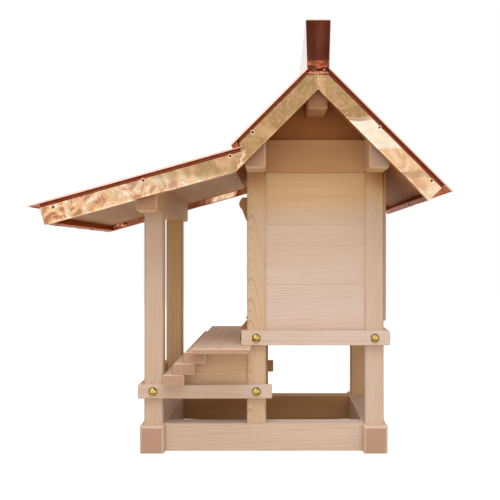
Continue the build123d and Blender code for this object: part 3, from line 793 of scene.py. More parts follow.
def verge_shell(roof, side, lower, upper, copper, seed, bend):
    """Copper-clad verge board: a rounded outline carried between its lower and upper line.

    A point is lower * (1 - v) + upper * v in the side view, with v and x from the outline, and its
    outer face moves in and out by the ripple times a window that is zero at the edges. The inner lower
    edge moves out by `bend` at the bright wedge. The second array says which points lie on the inner face.
    """
    shares = with_knots(upper, VERGE_STATIONS)
    low, high = along(lower, shares), along(upper, shares)
    deep = np.linalg.norm(np.subtract(upper[-1], lower[-1]))
    radius = copper.fold_radius
    arc = np.linspace(0, math.pi / 2, FOLD_STEPS)
    flat = np.linspace(radius, deep - radius, FACE_STEPS)[1:-1]
    rise = np.concatenate([radius - radius * np.cos(arc), flat, deep - radius + radius * np.sin(arc)])
    out = np.concatenate([np.sin(arc), np.ones(len(flat)), np.cos(arc)]) * radius + roof.verge_x - radius
    v = np.concatenate([rise, [deep, deep, GLOW_FOLD, 0.0, 0.0]]) / deep
    strip = roof.board_x + EDGE_STRIP
    x = np.concatenate([out, [strip, roof.board_x, roof.board_x, roof.board_x, strip]])
    window = np.clip(np.minimum(v, 1 - v) * 8, 0, 1) * (x > roof.verge_x - radius)
    run = shares * np.linalg.norm(np.subtract(lower[-1], lower[0]))
    uneven = ripple(*np.meshgrid(run, v * deep, indexing="ij"), seed, *VERGE_WAVES)
    rings = np.empty((len(shares), len(v), 3))
    rings[:, :, 0] = side * (x + copper.dent * window * uneven)
    borders = (GLOW_START - GLOW_SOFT, GLOW_START, GLOW_END, GLOW_END + GLOW_SOFT)
    wedge = np.interp(low[:, 0], borders, (0, 1, 1, 0))
    rings[:, -3:, 0] += side * bend * wedge[:, None] * (1 - v[-3:])
    rings[:, :, 1:] = low[:, None, :] * (1 - v)[:, None] + high[:, None, :] * v[:, None]
    return tube(rings), np.tile(x == roof.board_x, len(shares))


def add_glow(marks, points, inner, pitch):
    """A painted highlight on the inner faces, the painted red shade taken away in the wedge, and painted
    shade along the fold at its lower edge.

    The wedge is above one inside and below zero outside, in steady slopes from point to point.
    """
    over = points[:, 2] - points[:, 1] * math.tan(pitch)
    over = over - over.min()
    begun = points[:, 1] - GLOW_START - GLOW_LEAN * over
    wedge = np.minimum(begun, GLOW_END - points[:, 1]) / GLOW_SOFT
    fold = inner & (over < GLOW_FOLD / 2) & (wedge > 0)
    marks["pale"] = np.where(inner, GLOW_PALE, marks["pale"])
    marks["dull"] = np.where(fold, 1.0, marks["dull"])
    marks["red"] = np.where(fold, 1.0, marks["red"] * np.minimum(1.0, 1.0 - wedge))


def verge_marks(points, inner, looks):
    """Marks of a verge board by its height, with wavy borders between them and inner faces painted red as
    shade.
    """
    height = points[:, 2]
    share = (height.max() - height) / (height.max() - height.min())
    share = np.clip(share + ZONE_SWAY * ripple(points[:, 1], height, ZONE_SEED, *ZONE_WAVES), 0, 1)
    marks = {mark: np.interp(share, *zip(*table)) for mark, table in looks.items()}
    marks["dull"] = np.where(inner, INNER_DULL, marks["dull"])
    marks["red"] = INNER_RED * inner
    return marks


class SHRINE_OT_verge_boards(bpy.types.Operator):
    """Fold copper over the verge boards"""

    bl_idname = "shrine.verge_boards"
    bl_label = "Clad the verge boards"

    def execute(self, context):
        copper = context.scene.shrine_copper
        roof = Roof(copper)
        for number, (name, (lower, upper)) in enumerate(roof.verges.items()):
            bend = GLOW_BEND if name == "porch" else 0.0
            seed = VERGE_SEED + 2 * number
            made = [verge_shell(roof, side, lower, upper, copper, seed + side, bend) for side in SIDES]
            shell = joined([one for one, _ in made])
            inner = np.concatenate([one for _, one in made])
            marks = verge_marks(shell[0], inner, VERGE_LOOKS[name])
            if name == "porch":
                add_glow(marks, shell[0], inner, copper.porch_pitch)
            put_piece(name + "_verge_copper", shell, [gold_finish(copper)],
                      [name + "_verge_boards"], marks=marks)
        return {"FINISHED"}


def plain_marks(points, dull=0.0, pale=0.0, swirl=0.0, red=0.0):
    """The same looks all over a piece, or a look given for each point."""
    return {mark: np.broadcast_to(look, len(points)).astype(float)
            for mark, look in zip(COPPER_MARKS, (dull, pale, swirl, red))}


def lathe(profile, turns):
    """Closed shell of a (radius, height) profile turned around the height, capped at both ends."""
    turn = np.linspace(0, FULL_TURN, turns, endpoint=False)
    profile = np.asarray(profile)
    rings = np.empty((len(profile), turns, 3))
    rings[:, :, 0] = profile[:, :1] * np.cos(turn)
    rings[:, :, 1] = profile[:, :1] * np.sin(turn)
    rings[:, :, 2] = profile[:, 1:]
    return tube(rings)


def placed(shell, places, outward):
    """Copies of a shell that stands on z = 0, each set on a place with its z turned to `outward`."""
    points, faces = shell
    outward = np.asarray(outward, float)
    helper = np.array([0.0, 0.0, 1.0]) if abs(outward[2]) < 0.9 else np.array([0.0, 1.0, 0.0])
    first = np.cross(helper, outward)
    first /= np.linalg.norm(first)
    second = np.cross(outward, first)
    turned = points @ np.stack([first, second, outward])
    return [(turned + np.asarray(place), faces) for place in places]


# Outline of a nail from its rim to its middle: shares of its radius, shares of its height, redness, which
# marks the painted shade in the middle; the rest of the head gets a painted highlight.
NAIL_OUTLINE = ((1.0, -1.0, 0.6), (1.0, 0.35, 0.3), (0.92, 0.75, 0.0), (0.80, 0.92, 0.0), (0.68, 0.75, 0.0),
                (0.58, 0.35, 0.8), (0.40, 0.45, 1.0), (0.20, 0.62, 1.0), (0.01, 0.68, 0.9))
NAIL_TURNS = 20


def nail_marks(red):
    """Looks of nail heads: a painted highlight where they are not red, painted shade where they are."""
    return plain_marks(red, 0.8 * red, 1.0 - red, 0.0, red)


def nail_shell(copper, scale=1.0):
    """Nail head: a raised ring around a middle painted dark as shade, with its redness."""
    radius, height, red = np.array(NAIL_OUTLINE).T
    outline = scale * np.column_stack([radius * copper.nail_radius, height * copper.nail_height])
    return lathe(outline, NAIL_TURNS), np.repeat(red, NAIL_TURNS)


CRUMPLE_COLUMNS, CRUMPLE_ROWS = 48, 20
CRUMPLE_WAVES = (0.004, 0.016, 16)
CRUMPLE_LEAN_WAVES = (0.006, 0.02)
CRUMPLE_EDGE_WAVES = (0.008, 0.03)


def crumple(side, centre_y, half_width, bottom, height, base_x, swell, ragged, seed):
    """Crumpled strip on an end face: a grid over (y, z) that bulges by a ripple, zero along its rim.

    Its lower edge goes up and down by the ragged height times another ripple.
    """
    y = np.linspace(-half_width, half_width, CRUMPLE_COLUMNS)
    z = np.linspace(0, height, CRUMPLE_ROWS)
    grid_z, grid_y = np.meshgrid(z, y, indexing="ij")
    to_rim = np.minimum(half_width - np.abs(grid_y), np.minimum(grid_z, height - grid_z))
    window = np.clip(to_rim / (height / 5), 0, 1)
    waves = ripple(grid_y, grid_z * 2.2, seed, *CRUMPLE_WAVES)
    front = window * swell * (0.9 + 0.55 * waves)
    lean = window * swell * 0.5 * ripple(grid_y, grid_z, seed + 1, *CRUMPLE_LEAN_WAVES)
    edge = ripple(grid_y, 0 * grid_y, seed + 2, *CRUMPLE_EDGE_WAVES)
    up = bottom + grid_z + ragged * (1 - grid_z / height) * edge
    points = np.stack([side * (base_x + front), centre_y + grid_y, up + lean], axis=-1)
    back = np.stack([np.full_like(front, side * (base_x - swell)), centre_y + grid_y, up], axis=-1)
    rim = rim_of(*grid_y.shape)
    sheet = grid_faces(*grid_y.shape)
    points, faces = joined([(points.reshape(-1, 3), sheet), (back.reshape(-1, 3), sheet)])
    return points, faces + band_faces(np.stack([rim, rim + grid_y.size]))


SEAM_STATIONS = 60
SEAM_STEPS = 9


def seam_shell(side, start, end, face_x, width, height, sway, seed):
    """Ruffled seam on a verge board: a half-round strip from start to end in the side view.

    Its middle line sways by a ripple, and at the angle a across the strip it stands off the face by
    height * sin(a), with the height ruffled along the strip and zero at both ends.
    """
    share = np.linspace(0, 1, SEAM_STATIONS)
    start, end = np.asarray(start), np.asarray(end)
    way = end - start
    run = np.linalg.norm(way)
    aside = np.array([-way[1], way[0]]) / run
    calm = np.clip(np.minimum(share, 1 - share) * 8, 0, 1)
    wander = sway * calm * ripple(share * run, 0 * share, seed, run / 3, run / 1.5, 4)
    middle = start + share[:, None] * way + wander[:, None] * aside
    angles = np.linspace(0, math.pi, SEAM_STEPS)
    spread = np.meshgrid(share * run, angles * width, indexing="ij")
    ruffle = 1 + 0.45 * ripple(*spread, seed + 1, run / 9, run / 4)
    half = width / 2 * (0.8 + 0.3 * ripple(share * run, 0 * share, seed + 2, run / 6, run / 3))
    rings = np.empty((SEAM_STATIONS, SEAM_STEPS + 2, 3))
    offset = np.cos(angles) * half[:, None]
    rings[:, :-2, 1:] = middle[:, None, :] + offset[:, :, None] * aside
    rings[:, :-2, 0] = face_x + height * np.sin(angles) * ruffle * calm[:, None]
    rings[:, -2:, 1:] = rings[:, [SEAM_STEPS - 1, 0], 1:]
    rings[:, -2:, 0] = face_x - height
    rings[:, :, 0] *= side
    return tube(rings)


EAVE_STATIONS = 120
EAVE_STEPS = 60
EAVE_SEEDS = {"porch_eave_board": 31, "back_eave_board": 37}
EAVE_SWELL = 0.035
EAVE_GIRTH = 0.07
EAVE_WAVES = (0.02, 0.08)
# A point lies inside where it reaches less than this share of the way out, with a border this steep.
EAVE_OUTER_SHARE = 0.45
EAVE_OUTER_STEEP = 8
# Nails in the narrow lower edge of an eave board: their places along x, in metres.
EAVE_NAILS = {"porch_eave_board": (0.169, -0.048), "back_eave_board": (0.063,)}
EAVE_NAIL_SCALE = 0.8
CORNER_SIDE = 0.026
CORNER_HEIGHT_SHARE = 0.7
CORNER_LIFT = 0.004
CORNER_SWELL = 0.0020
CORNER_SEED, CREASE_SEED = 91, 95
CREASE_WAVES = (0.003, 0.012)


def swollen(stations, around, share, seed, waves):
    """Swell of a carried outline: one and a share of a ripple, and just one at both ends."""
    swell = 1 + share * ripple(*np.meshgrid(stations, around, indexing="ij"), seed, *waves)
    swell[[0, -1]] = 1.0
    return swell


def eave_shell(roof, ends, pitch, radius, seed):
    """Copper-clad eave board: a rounded outline carried along x and swollen by a ripple.

    The second array says how far each point lies on the inside, from 0 to 1, and the third one which
    faces make up the narrow lower edge.
    """
    low_first, low_last, high_first, high_last = ends
    outline = rounded([low_first, low_last, high_last, high_first], radius, FOLD_STEPS)
    loop = np.concatenate([outline, outline[:1]])
    around = with_knots(loop, EAVE_STEPS)[:-1]
    outline = along(loop, around)
    x = np.linspace(-roof.board_x, roof.board_x, EAVE_STATIONS)
    shell = tube(carried(outline, x, swell=swollen(x, around * EAVE_GIRTH, EAVE_SWELL, seed, EAVE_WAVES)))
    reach = (shell[0][:, 1] - outline.mean(axis=0)[0]) * math.copysign(1.0, -pitch)
    inside = np.clip((EAVE_OUTER_SHARE - reach / reach.max()) * EAVE_OUTER_STEEP, 0, 1)
    down = np.array([math.sin(pitch), -math.cos(pitch)])
    low = outline @ down > low_first @ down - PLANE_TOLERANCE
    lip = np.tile(low & np.roll(low, -1), len(x) - 1)
    return shell, inside, np.append(lip, [False, False])


class SHRINE_OT_eave_boards(bpy.types.Operator):
    """Fold copper over the two eave boards"""

    bl_idname = "shrine.eave_boards"
    bl_label = "Clad the eave boards"

    def execute(self, context):
        copper = context.scene.shrine_copper
        roof = Roof(copper)
        # The narrow lower edge of each eave board is a painted reflection in greyish copper.
        lip_finish = finish("eave_lip_copper", streaked_copper, tuple(copper.lip))
        nail, _ = nail_shell(copper, EAVE_NAIL_SCALE)
        nails = []
        pitches = {"porch_eave_board": copper.porch_pitch, "back_eave_board": -copper.main_pitch}
        for node, pitch in pitches.items():
            ends = slope_ends(node, pitch)
            shell, inside, lip = eave_shell(roof, ends, pitch, copper.fold_radius, EAVE_SEEDS[node])
            # The inside is painted red, a little dull, as shade, and the narrow lower edge takes the
            # greyish painted reflection.
            put_piece(node.replace("board", "copper"), shell, [rose_finish(copper), lip_finish],
                      [node], marks=plain_marks(shell[0], 0.2 * inside, 0.0, 0.2, inside), finishes=lip)
            middle = (ends[0] + ends[1]) / 2
            places = [(x, *middle) for x in EAVE_NAILS[node]]
            nails += placed(nail, places, (0, math.sin(pitch), -math.cos(pitch)))
        # The eave nails take the dark copper: painted shade.
        put_piece("eave_nails", joined(nails), [dark_finish(copper)])
        self.corners(copper, roof)
        return {"FINISHED"}

    def corners(self, copper, roof):
        """Crumpled copper in the two inner corners between the porch eave and its verge boards."""
        _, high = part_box("porch_eave_board")
        half = CORNER_SIDE / 2
        middle = high.y + half
        bottom = np.interp(middle, (roof.porch_low[0], roof.foot[0]), (roof.porch_low[1], roof.foot[1]))
        folds = joined([crumple(side, middle, half, bottom + CORNER_LIFT, CORNER_SIDE * CORNER_HEIGHT_SHARE,
                                -roof.board_x, CORNER_SWELL, CORNER_SWELL, CORNER_SEED + side)
                        for side in SIDES])
        # Pale and dull places along a ripple are painted highlights and painted shade on the crumpled
        # copper, which is painted red as shade.
        crease = ripple(folds[0][:, 1], folds[0][:, 2], CREASE_SEED, *CREASE_WAVES)
        dull, pale = np.clip(-0.7 * crease, 0, 0.8), np.clip(0.5 * crease, 0, 0.5)
        put_piece("porch_corner_folds", folds, [gold_finish(copper)],
                  marks=plain_marks(folds[0], dull, pale, 0.2, np.clip(0.85 - 0.6 * crease, 0.3, 1)))


SHEET_COLUMNS = 110
SHEET_ROWS = 60
SHEET_SEEDS = {"front": 41, "back": 43, "porch": 47}
SHEET_WAVES = (0.05, 0.22)
# The dents of a sheet, as a multiple of those of the boards, fade out over this width along its edges.
SHEET_DENTS = 2.0
SHEET_CALM = 0.02


def edge_spaced(low, high, count, radius):
    """Even places from low to high, with more of them on the round of each edge."""
    close = radius * (1 - np.cos(np.linspace(0, math.pi / 2, FOLD_STEPS + 1)[:-1]))
    inner = np.linspace(low + radius, high - radius, count)
    return np.concatenate([low + close, inner, high - close[::-1]])


def sheet_shell(roof, ends, head_first, eave_reach, copper, seed):
    """Roof sheet with a folded hem, in its own plane: u across, s down the slope, n off the boards.

    The top is n = thickness - round(e) + dents, with e the distance to the nearest hemmed edge. Then
    loops of the top's rim go down the hem, in along its lip, up, in to the board's face and down.
    """
    low = ends[:2] if head_first else ends[1::-1]
    high = ends[2:] if head_first else ends[:1:-1]
    head, down = low[0], low[1] - low[0]
    run = np.linalg.norm(down)
    down = down / run
    off = np.array([down[1], -down[0]]) * (1 if down[0] < 0 else -1)
    thick = (high[0] - head) @ off
    start = (high[0] - head) @ down
    radius = copper.fold_radius
    u = edge_spaced(-roof.sheet_x, roof.sheet_x, SHEET_COLUMNS, radius)
    s = edge_spaced(start, run, SHEET_ROWS, radius)
    grid_s, grid_u = np.meshgrid(s, u, indexing="ij")
    edge = np.minimum(roof.sheet_x - np.abs(grid_u), run - grid_s)
    near = np.clip(radius - edge, 0, radius)
    fall = radius - np.sqrt(radius ** 2 - near ** 2)
    calm = np.clip(edge / SHEET_CALM, 0, 1) * np.clip((grid_s - start) / SHEET_CALM, 0, 1)
    n = thick - fall + calm * SHEET_DENTS * copper.dent * ripple(grid_u, grid_s, seed, *SHEET_WAVES)
    rows, columns = grid_s.shape
    rim = rim_of(rows, columns)
    rim_u, rim_s = grid_u.ravel()[rim], grid_s.ravel()[rim]
    side_in = roof.sheet_x - roof.verge_x + copper.hem_recess
    eave_in = eave_reach + copper.hem_recess
    lip = copper.hem_lip
    under = thick - copper.sheet
    loops = [(0.0, 0.0, thick - copper.hem), (lip, lip, thick - copper.hem), (lip, lip, under),
             (side_in, eave_in, under), (side_in, eave_in, 0.0)]
    all_u, all_s, all_n = [grid_u.ravel()], [grid_s.ravel()], [n.ravel()]
    for side_inset, eave_inset, height in loops:
        half = roof.sheet_x - side_inset
        all_u.append(np.clip(rim_u, -half, half))
        all_s.append(np.clip(rim_s, start if height > 0 else 0.0, run - eave_inset))
        all_n.append(np.full(len(rim), height))
    u, s, n = (np.concatenate(part) for part in (all_u, all_s, all_n))
    points = np.column_stack([u, head[0] + s * down[0] + n * off[0], head[1] + s * down[1] + n * off[1]])
    faces = grid_faces(rows, columns)
    lower_loops = rows * columns + np.arange(len(loops) * len(rim)).reshape(len(loops), -1)
    order = np.concatenate([rim[None], lower_loops])
    under_hem = np.arange(len(points)) >= rows * columns + 2 * len(rim)
    return (points, faces + band_faces(order) + [order[-1].tolist()]), under_hem


class SHRINE_OT_roof_sheets(bpy.types.Operator):
    """Lay the three copper roof sheets with their folded hems"""

    bl_idname = "shrine.roof_sheets"
    bl_label = "Lay the roof sheets"

    def execute(self, context):
        copper = context.scene.shrine_copper
        roof = Roof(copper)
        eaves = {
            "front": (copper.main_pitch, False, roof.eave),
            "back": (-copper.main_pitch, True, roof.back_high),
            "porch": (copper.porch_pitch, False, roof.porch_high),
        }
        for name, (pitch, head_first, board_end) in eaves.items():
            ends = slope_ends(name + "_roof_sheet", pitch)
            tip = ends[1] if head_first else ends[0]
            reach = np.linalg.norm(tip - board_end)
            shell, under_hem = sheet_shell(roof, ends, head_first, reach, copper, SHEET_SEEDS[name])
            # The strip under each hem is painted red and a little dull: painted shade.
            put_piece(name + "_roof_copper", shell, [rose_finish(copper)],
                      [name + "_roof_sheet"],
                      marks=plain_marks(shell[0], 0.4 * under_hem, 0.0, 0.04, under_hem))
        return {"FINISHED"}


RIDGE_STATIONS = 90
RIDGE_SEED = 53
RIDGE_SWELL = 0.005
RIDGE_GIRTH = 0.19
RIDGE_WAVES = (0.05, 0.20)
# Rim and depth of the ridge's sunk ends, as multiples of the sheet's thickness.
RIDGE_RIM_SHEETS = 1.4
RIDGE_SUNK_SHEETS = 2
FLAP_SEED, PLATE_SEED, FOLD_SEED, FLAP_DENT_SEED = 61, 64, 67, 69
FLAP_DENT_WAVES = (0.006, 0.02)
RIDGE_FLAP_HEIGHT = 0.0100
RIDGE_FLAP_LIFT = 0.0020
RIDGE_FLAP_SWELL = 0.0016
RIDGE_PLATE_RECESS = 0.0016
# Height of the painted shade along the foot of the ridge's end rims, in metres.
RIDGE_SHADED_FOOT = 0.0018
RIDGE_FOLD_WIDTH = 0.0046
# Nails under an end of the ridge: share of its half width from the middle, height over the roof's seat.
RIDGE_NAILS = ((-0.33, 0.0066), (0.55, 0.0057))
RIDGE_NAIL_SCALE = 0.5


def ridge_corners():
    """Side view of the ridge box's end: foot left, foot right, top right, top left."""
    corners = corners_of("ridge_box")
    end = corners[corners[:, 0] > corners[:, 0].max() - PLANE_TOLERANCE][:, 1:]
    foot = end[end[:, 1] < end[:, 1].min() + PLANE_TOLERANCE]
    top = end[end[:, 1] > end[:, 1].max() - PLANE_TOLERANCE]
    return [foot[foot[:, 0].argmin()], foot[foot[:, 0].argmax()],
            top[top[:, 0].argmax()], top[top[:, 0].argmin()]]


def ridge_shell(copper):
    """Ridge skin: a rounded outline carried along x, with a thin rim and a sunk plate at each end.

    The second array says which faces take the dark copper of painted shade: the two plates and the foot of
    each rim.
    """
    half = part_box("ridge_box")[1].x
    outer = rounded(ridge_corners(), copper.fold_radius, FOLD_STEPS)
    centre = outer.mean(axis=0)
    reach = np.linalg.norm(outer - centre, axis=1, keepdims=True)
    inner = centre + (outer - centre) * (1 - RIDGE_RIM_SHEETS * copper.sheet / reach)
    x = np.linspace(-half, half, RIDGE_STATIONS)
    around = np.arange(len(outer)) / len(outer) * RIDGE_GIRTH
    swell = swollen(x, around, RIDGE_SWELL, RIDGE_SEED, RIDGE_WAVES)
    sunk = half - RIDGE_SUNK_SHEETS * copper.sheet
    rims = carried(inner, (-sunk, -half, half, sunk))
    points, faces = tube(np.concatenate([rims[:2], carried(outer, x, swell=swell), rims[2:]]))
    quads = points[np.array(faces[:-2])]
    at_end = np.abs(quads[:, :, 0]).min(axis=1) > half - PLANE_TOLERANCE
    at_foot = quads[:, :, 2].max(axis=1) < points[:, 2].min() + RIDGE_SHADED_FOOT
    return (points, faces), np.append(at_end & at_foot, [True, True])


class SHRINE_OT_ridge(bpy.types.Operator):
    """Clad the ridge box, with its sunk ends and the crumpled flaps at their feet"""

    bl_idname = "shrine.ridge"
    bl_label = "Clad the ridge"

    def execute(self, context):
        copper = context.scene.shrine_copper
        shell, finishes = ridge_shell(copper)
        put_piece("ridge_copper", shell,
                  [finish("smooth_copper", copper_sheet, copper, tuple(copper.rose), 0.25),
                   dark_finish(copper)],
                  ["ridge_box"], marks=plain_marks(shell[0], 0.1), finishes=finishes)
        self.foot(copper)
        return {"FINISHED"}

    def foot(self, copper):
        """Under each end: a ragged flap painted red as shade, a plate behind it painted dark as shade, a
        rolled fold and two nails.
        """
        roof = Roof(copper)
        left, right = ridge_corners()[:2]
        half_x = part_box("ridge_box")[1].x
        middle, half_y = (left[0] + right[0]) / 2, (right[0] - left[0]) / 2
        plate_x = roof.verge_x - RIDGE_PLATE_RECESS
        flap_foot = left[1] + RIDGE_FLAP_LIFT
        fold_z = roof.seat[1] + RIDGE_FOLD_WIDTH / 2
        fold_ends = (middle - half_y, fold_z), (middle + half_y, fold_z)
        flaps, plates, folds, nails = [], [], [], []
        nail, red = nail_shell(copper, RIDGE_NAIL_SCALE)
        for side in SIDES:
            flaps.append(crumple(side, middle, half_y, flap_foot, RIDGE_FLAP_HEIGHT, half_x,
                                 RIDGE_FLAP_SWELL, RIDGE_FLAP_SWELL, FLAP_SEED + side))
            plates.append(crumple(side, middle, half_y, roof.seat[1], flap_foot - roof.seat[1], plate_x,
                                  copper.sheet / 2, 0.0, PLATE_SEED + side))
            folds.append(seam_shell(side, *fold_ends, roof.verge_x, RIDGE_FOLD_WIDTH, copper.sheet,
                                    copper.sheet / 2, FOLD_SEED))
            for share, lift in RIDGE_NAILS:
                place = (side * plate_x, middle + share * half_y, roof.seat[1] + lift)
                nails += placed(nail, [place], (side, 0, 0))
        flap, fold, heads = joined(flaps), joined(folds), joined(nails)
        # The flaps are painted red as shade, darker in patches of a ripple where they are dull.
        uneven = ripple(flap[0][:, 1], flap[0][:, 2] * 2, FLAP_DENT_SEED, *FLAP_DENT_WAVES)
        dents = np.clip(0.42 + 0.45 * uneven, 0, 1)
        put_piece("ridge_end_flaps", flap, [gold_finish(copper)],
                  marks=plain_marks(flap[0], dents, 0.0, 0.0, 1.0))
        put_piece("ridge_end_plates", joined(plates), [dark_finish(copper)])
        # The rolled folds are partly painted red as shade.
        put_piece("ridge_end_folds", fold, [rose_finish(copper)],
                  marks=plain_marks(fold[0], 0.1, 0.0, 0.0, 0.45))
        put_piece("ridge_end_nails", heads, [gold_finish(copper)],
                  marks=nail_marks(np.tile(red, len(nails))))


SEAM_SHARES = (0.16, 0.84)
SEAM_SEED, APEX_SEAM_SEED = 71, 77


class SHRINE_OT_verge_seams(bpy.types.Operator):
    """Crumple the copper seams where two verge boards meet, and close the ends of the front eave"""

    bl_idname = "shrine.verge_seams"
    bl_label = "Fold the seams"

    def execute(self, context):
        copper = context.scene.shrine_copper
        roof = Roof(copper)
        shells = []
        for side in SIDES:
            start, end = along([roof.cut, roof.foot], SEAM_SHARES)
            shells.append(seam_shell(side, start, end, roof.verge_x, copper.seam_width, copper.seam_height,
                                     copper.seam_sway, SEAM_SEED))
            shells.append(seam_shell(side, roof.seat, roof.apex, roof.verge_x, copper.seam_width / 3,
                                     copper.seam_height / 2, 0.0, APEX_SEAM_SEED))
        seams = joined(shells)
        # The seams carry a painted highlight.
        put_piece("verge_seams", seams, [gold_finish(copper)],
                  marks=plain_marks(seams[0], pale=0.35))
        tabs = joined([self.eave_tab(roof, copper, side) for side in SIDES])
        # The tabs are painted red as shade.
        put_piece("front_eave_tabs", tabs, [gold_finish(copper)],
                  marks=plain_marks(tabs[0], red=1.0))
        return {"FINISHED"}

    def eave_tab(self, roof, copper, side):
        """Flat tab between the front sheet's eave and the porch sheet, outside the verge board."""
        tip, _, high, _ = slope_ends("front_roof_sheet", copper.main_pitch)
        end = slope_ends("porch_roof_sheet", copper.porch_pitch)[3]
        rise = math.tan(copper.porch_pitch)
        up = np.array([-math.sin(copper.main_pitch), math.cos(copper.main_pitch)])
        head = np.linalg.norm(high - tip) - copper.sheet
        feet = [[y, end[1] + (y - end[0]) * rise] for y in (tip[0], roof.eave[0])]
        line = np.array([roof.eave + head * up, tip + head * up, *feet])
        return tube(carried(line, side * (roof.verge_x + np.array([0.0, 2 * copper.sheet]))))


STUD_TURNS = 40
STUD_STEPS = 12
# Outline of a stud's rim, as shares of its radius and of the rim's thickness, and the shares of its radius
# that the dome has at its foot and at its top.
STUD_RIM = ((0.2, 0.0), (1.0, 0.0), (1.0, 0.6), (0.99, 1.0))
STUD_DOME_FOOT, STUD_DOME_TOP = 0.975, 0.004


class SHRINE_OT_brass_studs(bpy.types.Operator):
    """Turn the domed brass studs on the rails and the small pulls on the doors"""

    bl_idname = "shrine.brass_studs"
    bl_label = "Set the brass studs"

    def execute(self, context):
        brass = context.scene.shrine_brass
        solid = corners_of("brass_studs")
        rail_low, rail_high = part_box("lower_side_rails")
        upper_low, upper_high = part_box("upper_side_rails")
        heads = solid[solid[:, 0] > upper_high.x + PLANE_TOLERANCE]
        radius = brass.head / 2
        height = heads[:, 0].max() - upper_high.x
        arc = np.linspace(0, math.pi / 2, STUD_STEPS)
        rim = np.array(STUD_RIM) * (radius, brass.rim)
        dome = np.column_stack([radius * STUD_DOME_FOOT * np.cos(arc),
                                brass.rim + (height - brass.rim) * np.sin(arc)])
        dome[-1, 0] = radius * STUD_DOME_TOP
        profile = np.concatenate([rim, dome])
        stud = lathe(profile, STUD_TURNS)
        # Share of the radius, squared, that steers the painted shade towards the rim.
        rims = np.repeat((profile[:, 0] / radius) ** 2, STUD_TURNS)
        low_z = (rail_low.z + rail_high.z) / 2
        high_z = (upper_low.z + upper_high.z) / 2
        middle = {row: (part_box(row + "_right_post")[0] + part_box(row + "_right_post")[1]) / 2
                  for row in ("front", "middle", "back")}
        spots = [("front", low_z), ("middle", low_z), ("middle", high_z), ("back", high_z)]
        shells = []
        for side in SIDES:
            places = [(side * upper_high.x, middle[row].y, z) for row, z in spots]
            shells += placed(stud, places, (side, 0, 0))
        post_x = middle["front"].x
        fronts = [(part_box("lower_front_rail")[0].y, low_z), (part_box("upper_front_rail")[0].y, high_z)]
        shells += placed(stud, [(side * post_x, y, z) for side in SIDES for y, z in fronts], (0, -1, 0))
        back_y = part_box("upper_back_rail")[1].y
        shells += placed(stud, [(side * post_x, back_y, high_z) for side in SIDES], (0, 1, 0))
        shells += self.pulls(stud)
        # How far each point lies below its stud's middle, which steers the painted shade band.
        heights = [points[:, 2] for points, _ in shells]
        fall = np.concatenate([(height.mean() - height) / np.ptp(height) for height in heights])
        put_piece("turned_brass_studs", joined(shells), [finish("stud_brass", stud_brass, brass)],
                  ["brass_studs"], marks={"rim": np.tile(rims, len(shells)), "fall": fall})
        return {"FINISHED"}

    def pulls(self, stud):
        """The small studs on the doors, a smaller copy of the others."""
        solid = corners_of("brass_studs")
        door_low, door_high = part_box("right_door")
        near = solid[(np.abs(solid[:, 0]) < door_high.x / 2) & (solid[:, 0] > 0)]
        centre = (near.min(axis=0) + near.max(axis=0)) / 2
        scale = (near[:, 2].max() - near[:, 2].min()) / (stud[0][:, 0].max() - stud[0][:, 0].min())
        places = [(side * centre[0], door_low.y, centre[2]) for side in SIDES]
        return placed((stud[0] * scale, stud[1]), places, (0, -1, 0))


# Nails through the verge boards: share along each board from its upper end, share of its depth from below.
VERGE_NAILS = {
    "front": ((0.76, 0.87),),
    "back": ((0.487, 0.88), (0.927, 0.85)),
    "porch": ((0.072, 0.88), (0.497, 0.89), (0.938, 0.79)),
}


class SHRINE_OT_copper_nails(bpy.types.Operator):
    """Drive the copper nails of the verge boards"""

    bl_idname = "shrine.copper_nails"
    bl_label = "Drive the copper nails"

    def execute(self, context):
        copper = context.scene.shrine_copper
        roof = Roof(copper)
        nail, red = nail_shell(copper)
        shells = []
        for name, spots in VERGE_NAILS.items():
            lower, upper = roof.verges[name]
            shares, depths = (np.array(part) for part in zip(*spots))
            yz = along(lower, shares) * (1 - depths)[:, None] + along(upper, shares) * depths[:, None]
            for side in SIDES:
                places = np.column_stack([np.full(len(yz), side * roof.verge_x), yz])
                shells += placed(nail, places, (side, 0, 0))
        shell = joined(shells)
        put_piece("copper_nails", shell, [gold_finish(copper)],
                  marks=nail_marks(np.tile(red, len(shells))))
        return {"FINISHED"}


# Square lamps: place and side in metres, the stage's power and tint, and whether only metal shows them.
LAMPS = {
    "main_lamp": ((1.1, 0.2, 2.1), 1.4, "key_power", "key_tint", False),
    "wide_lamp": ((2.9, 0.0, 0.55), 2.4, "wide_power", "wide_tint", False),
    "far_lamp": ((-2.7, 0.5, 0.9), 2.4, "far_power", "wide_tint", False),
    "glint_lamp": ((1.5, -0.65, 1.35), 0.8, "glint_power", "key_tint", True),
}


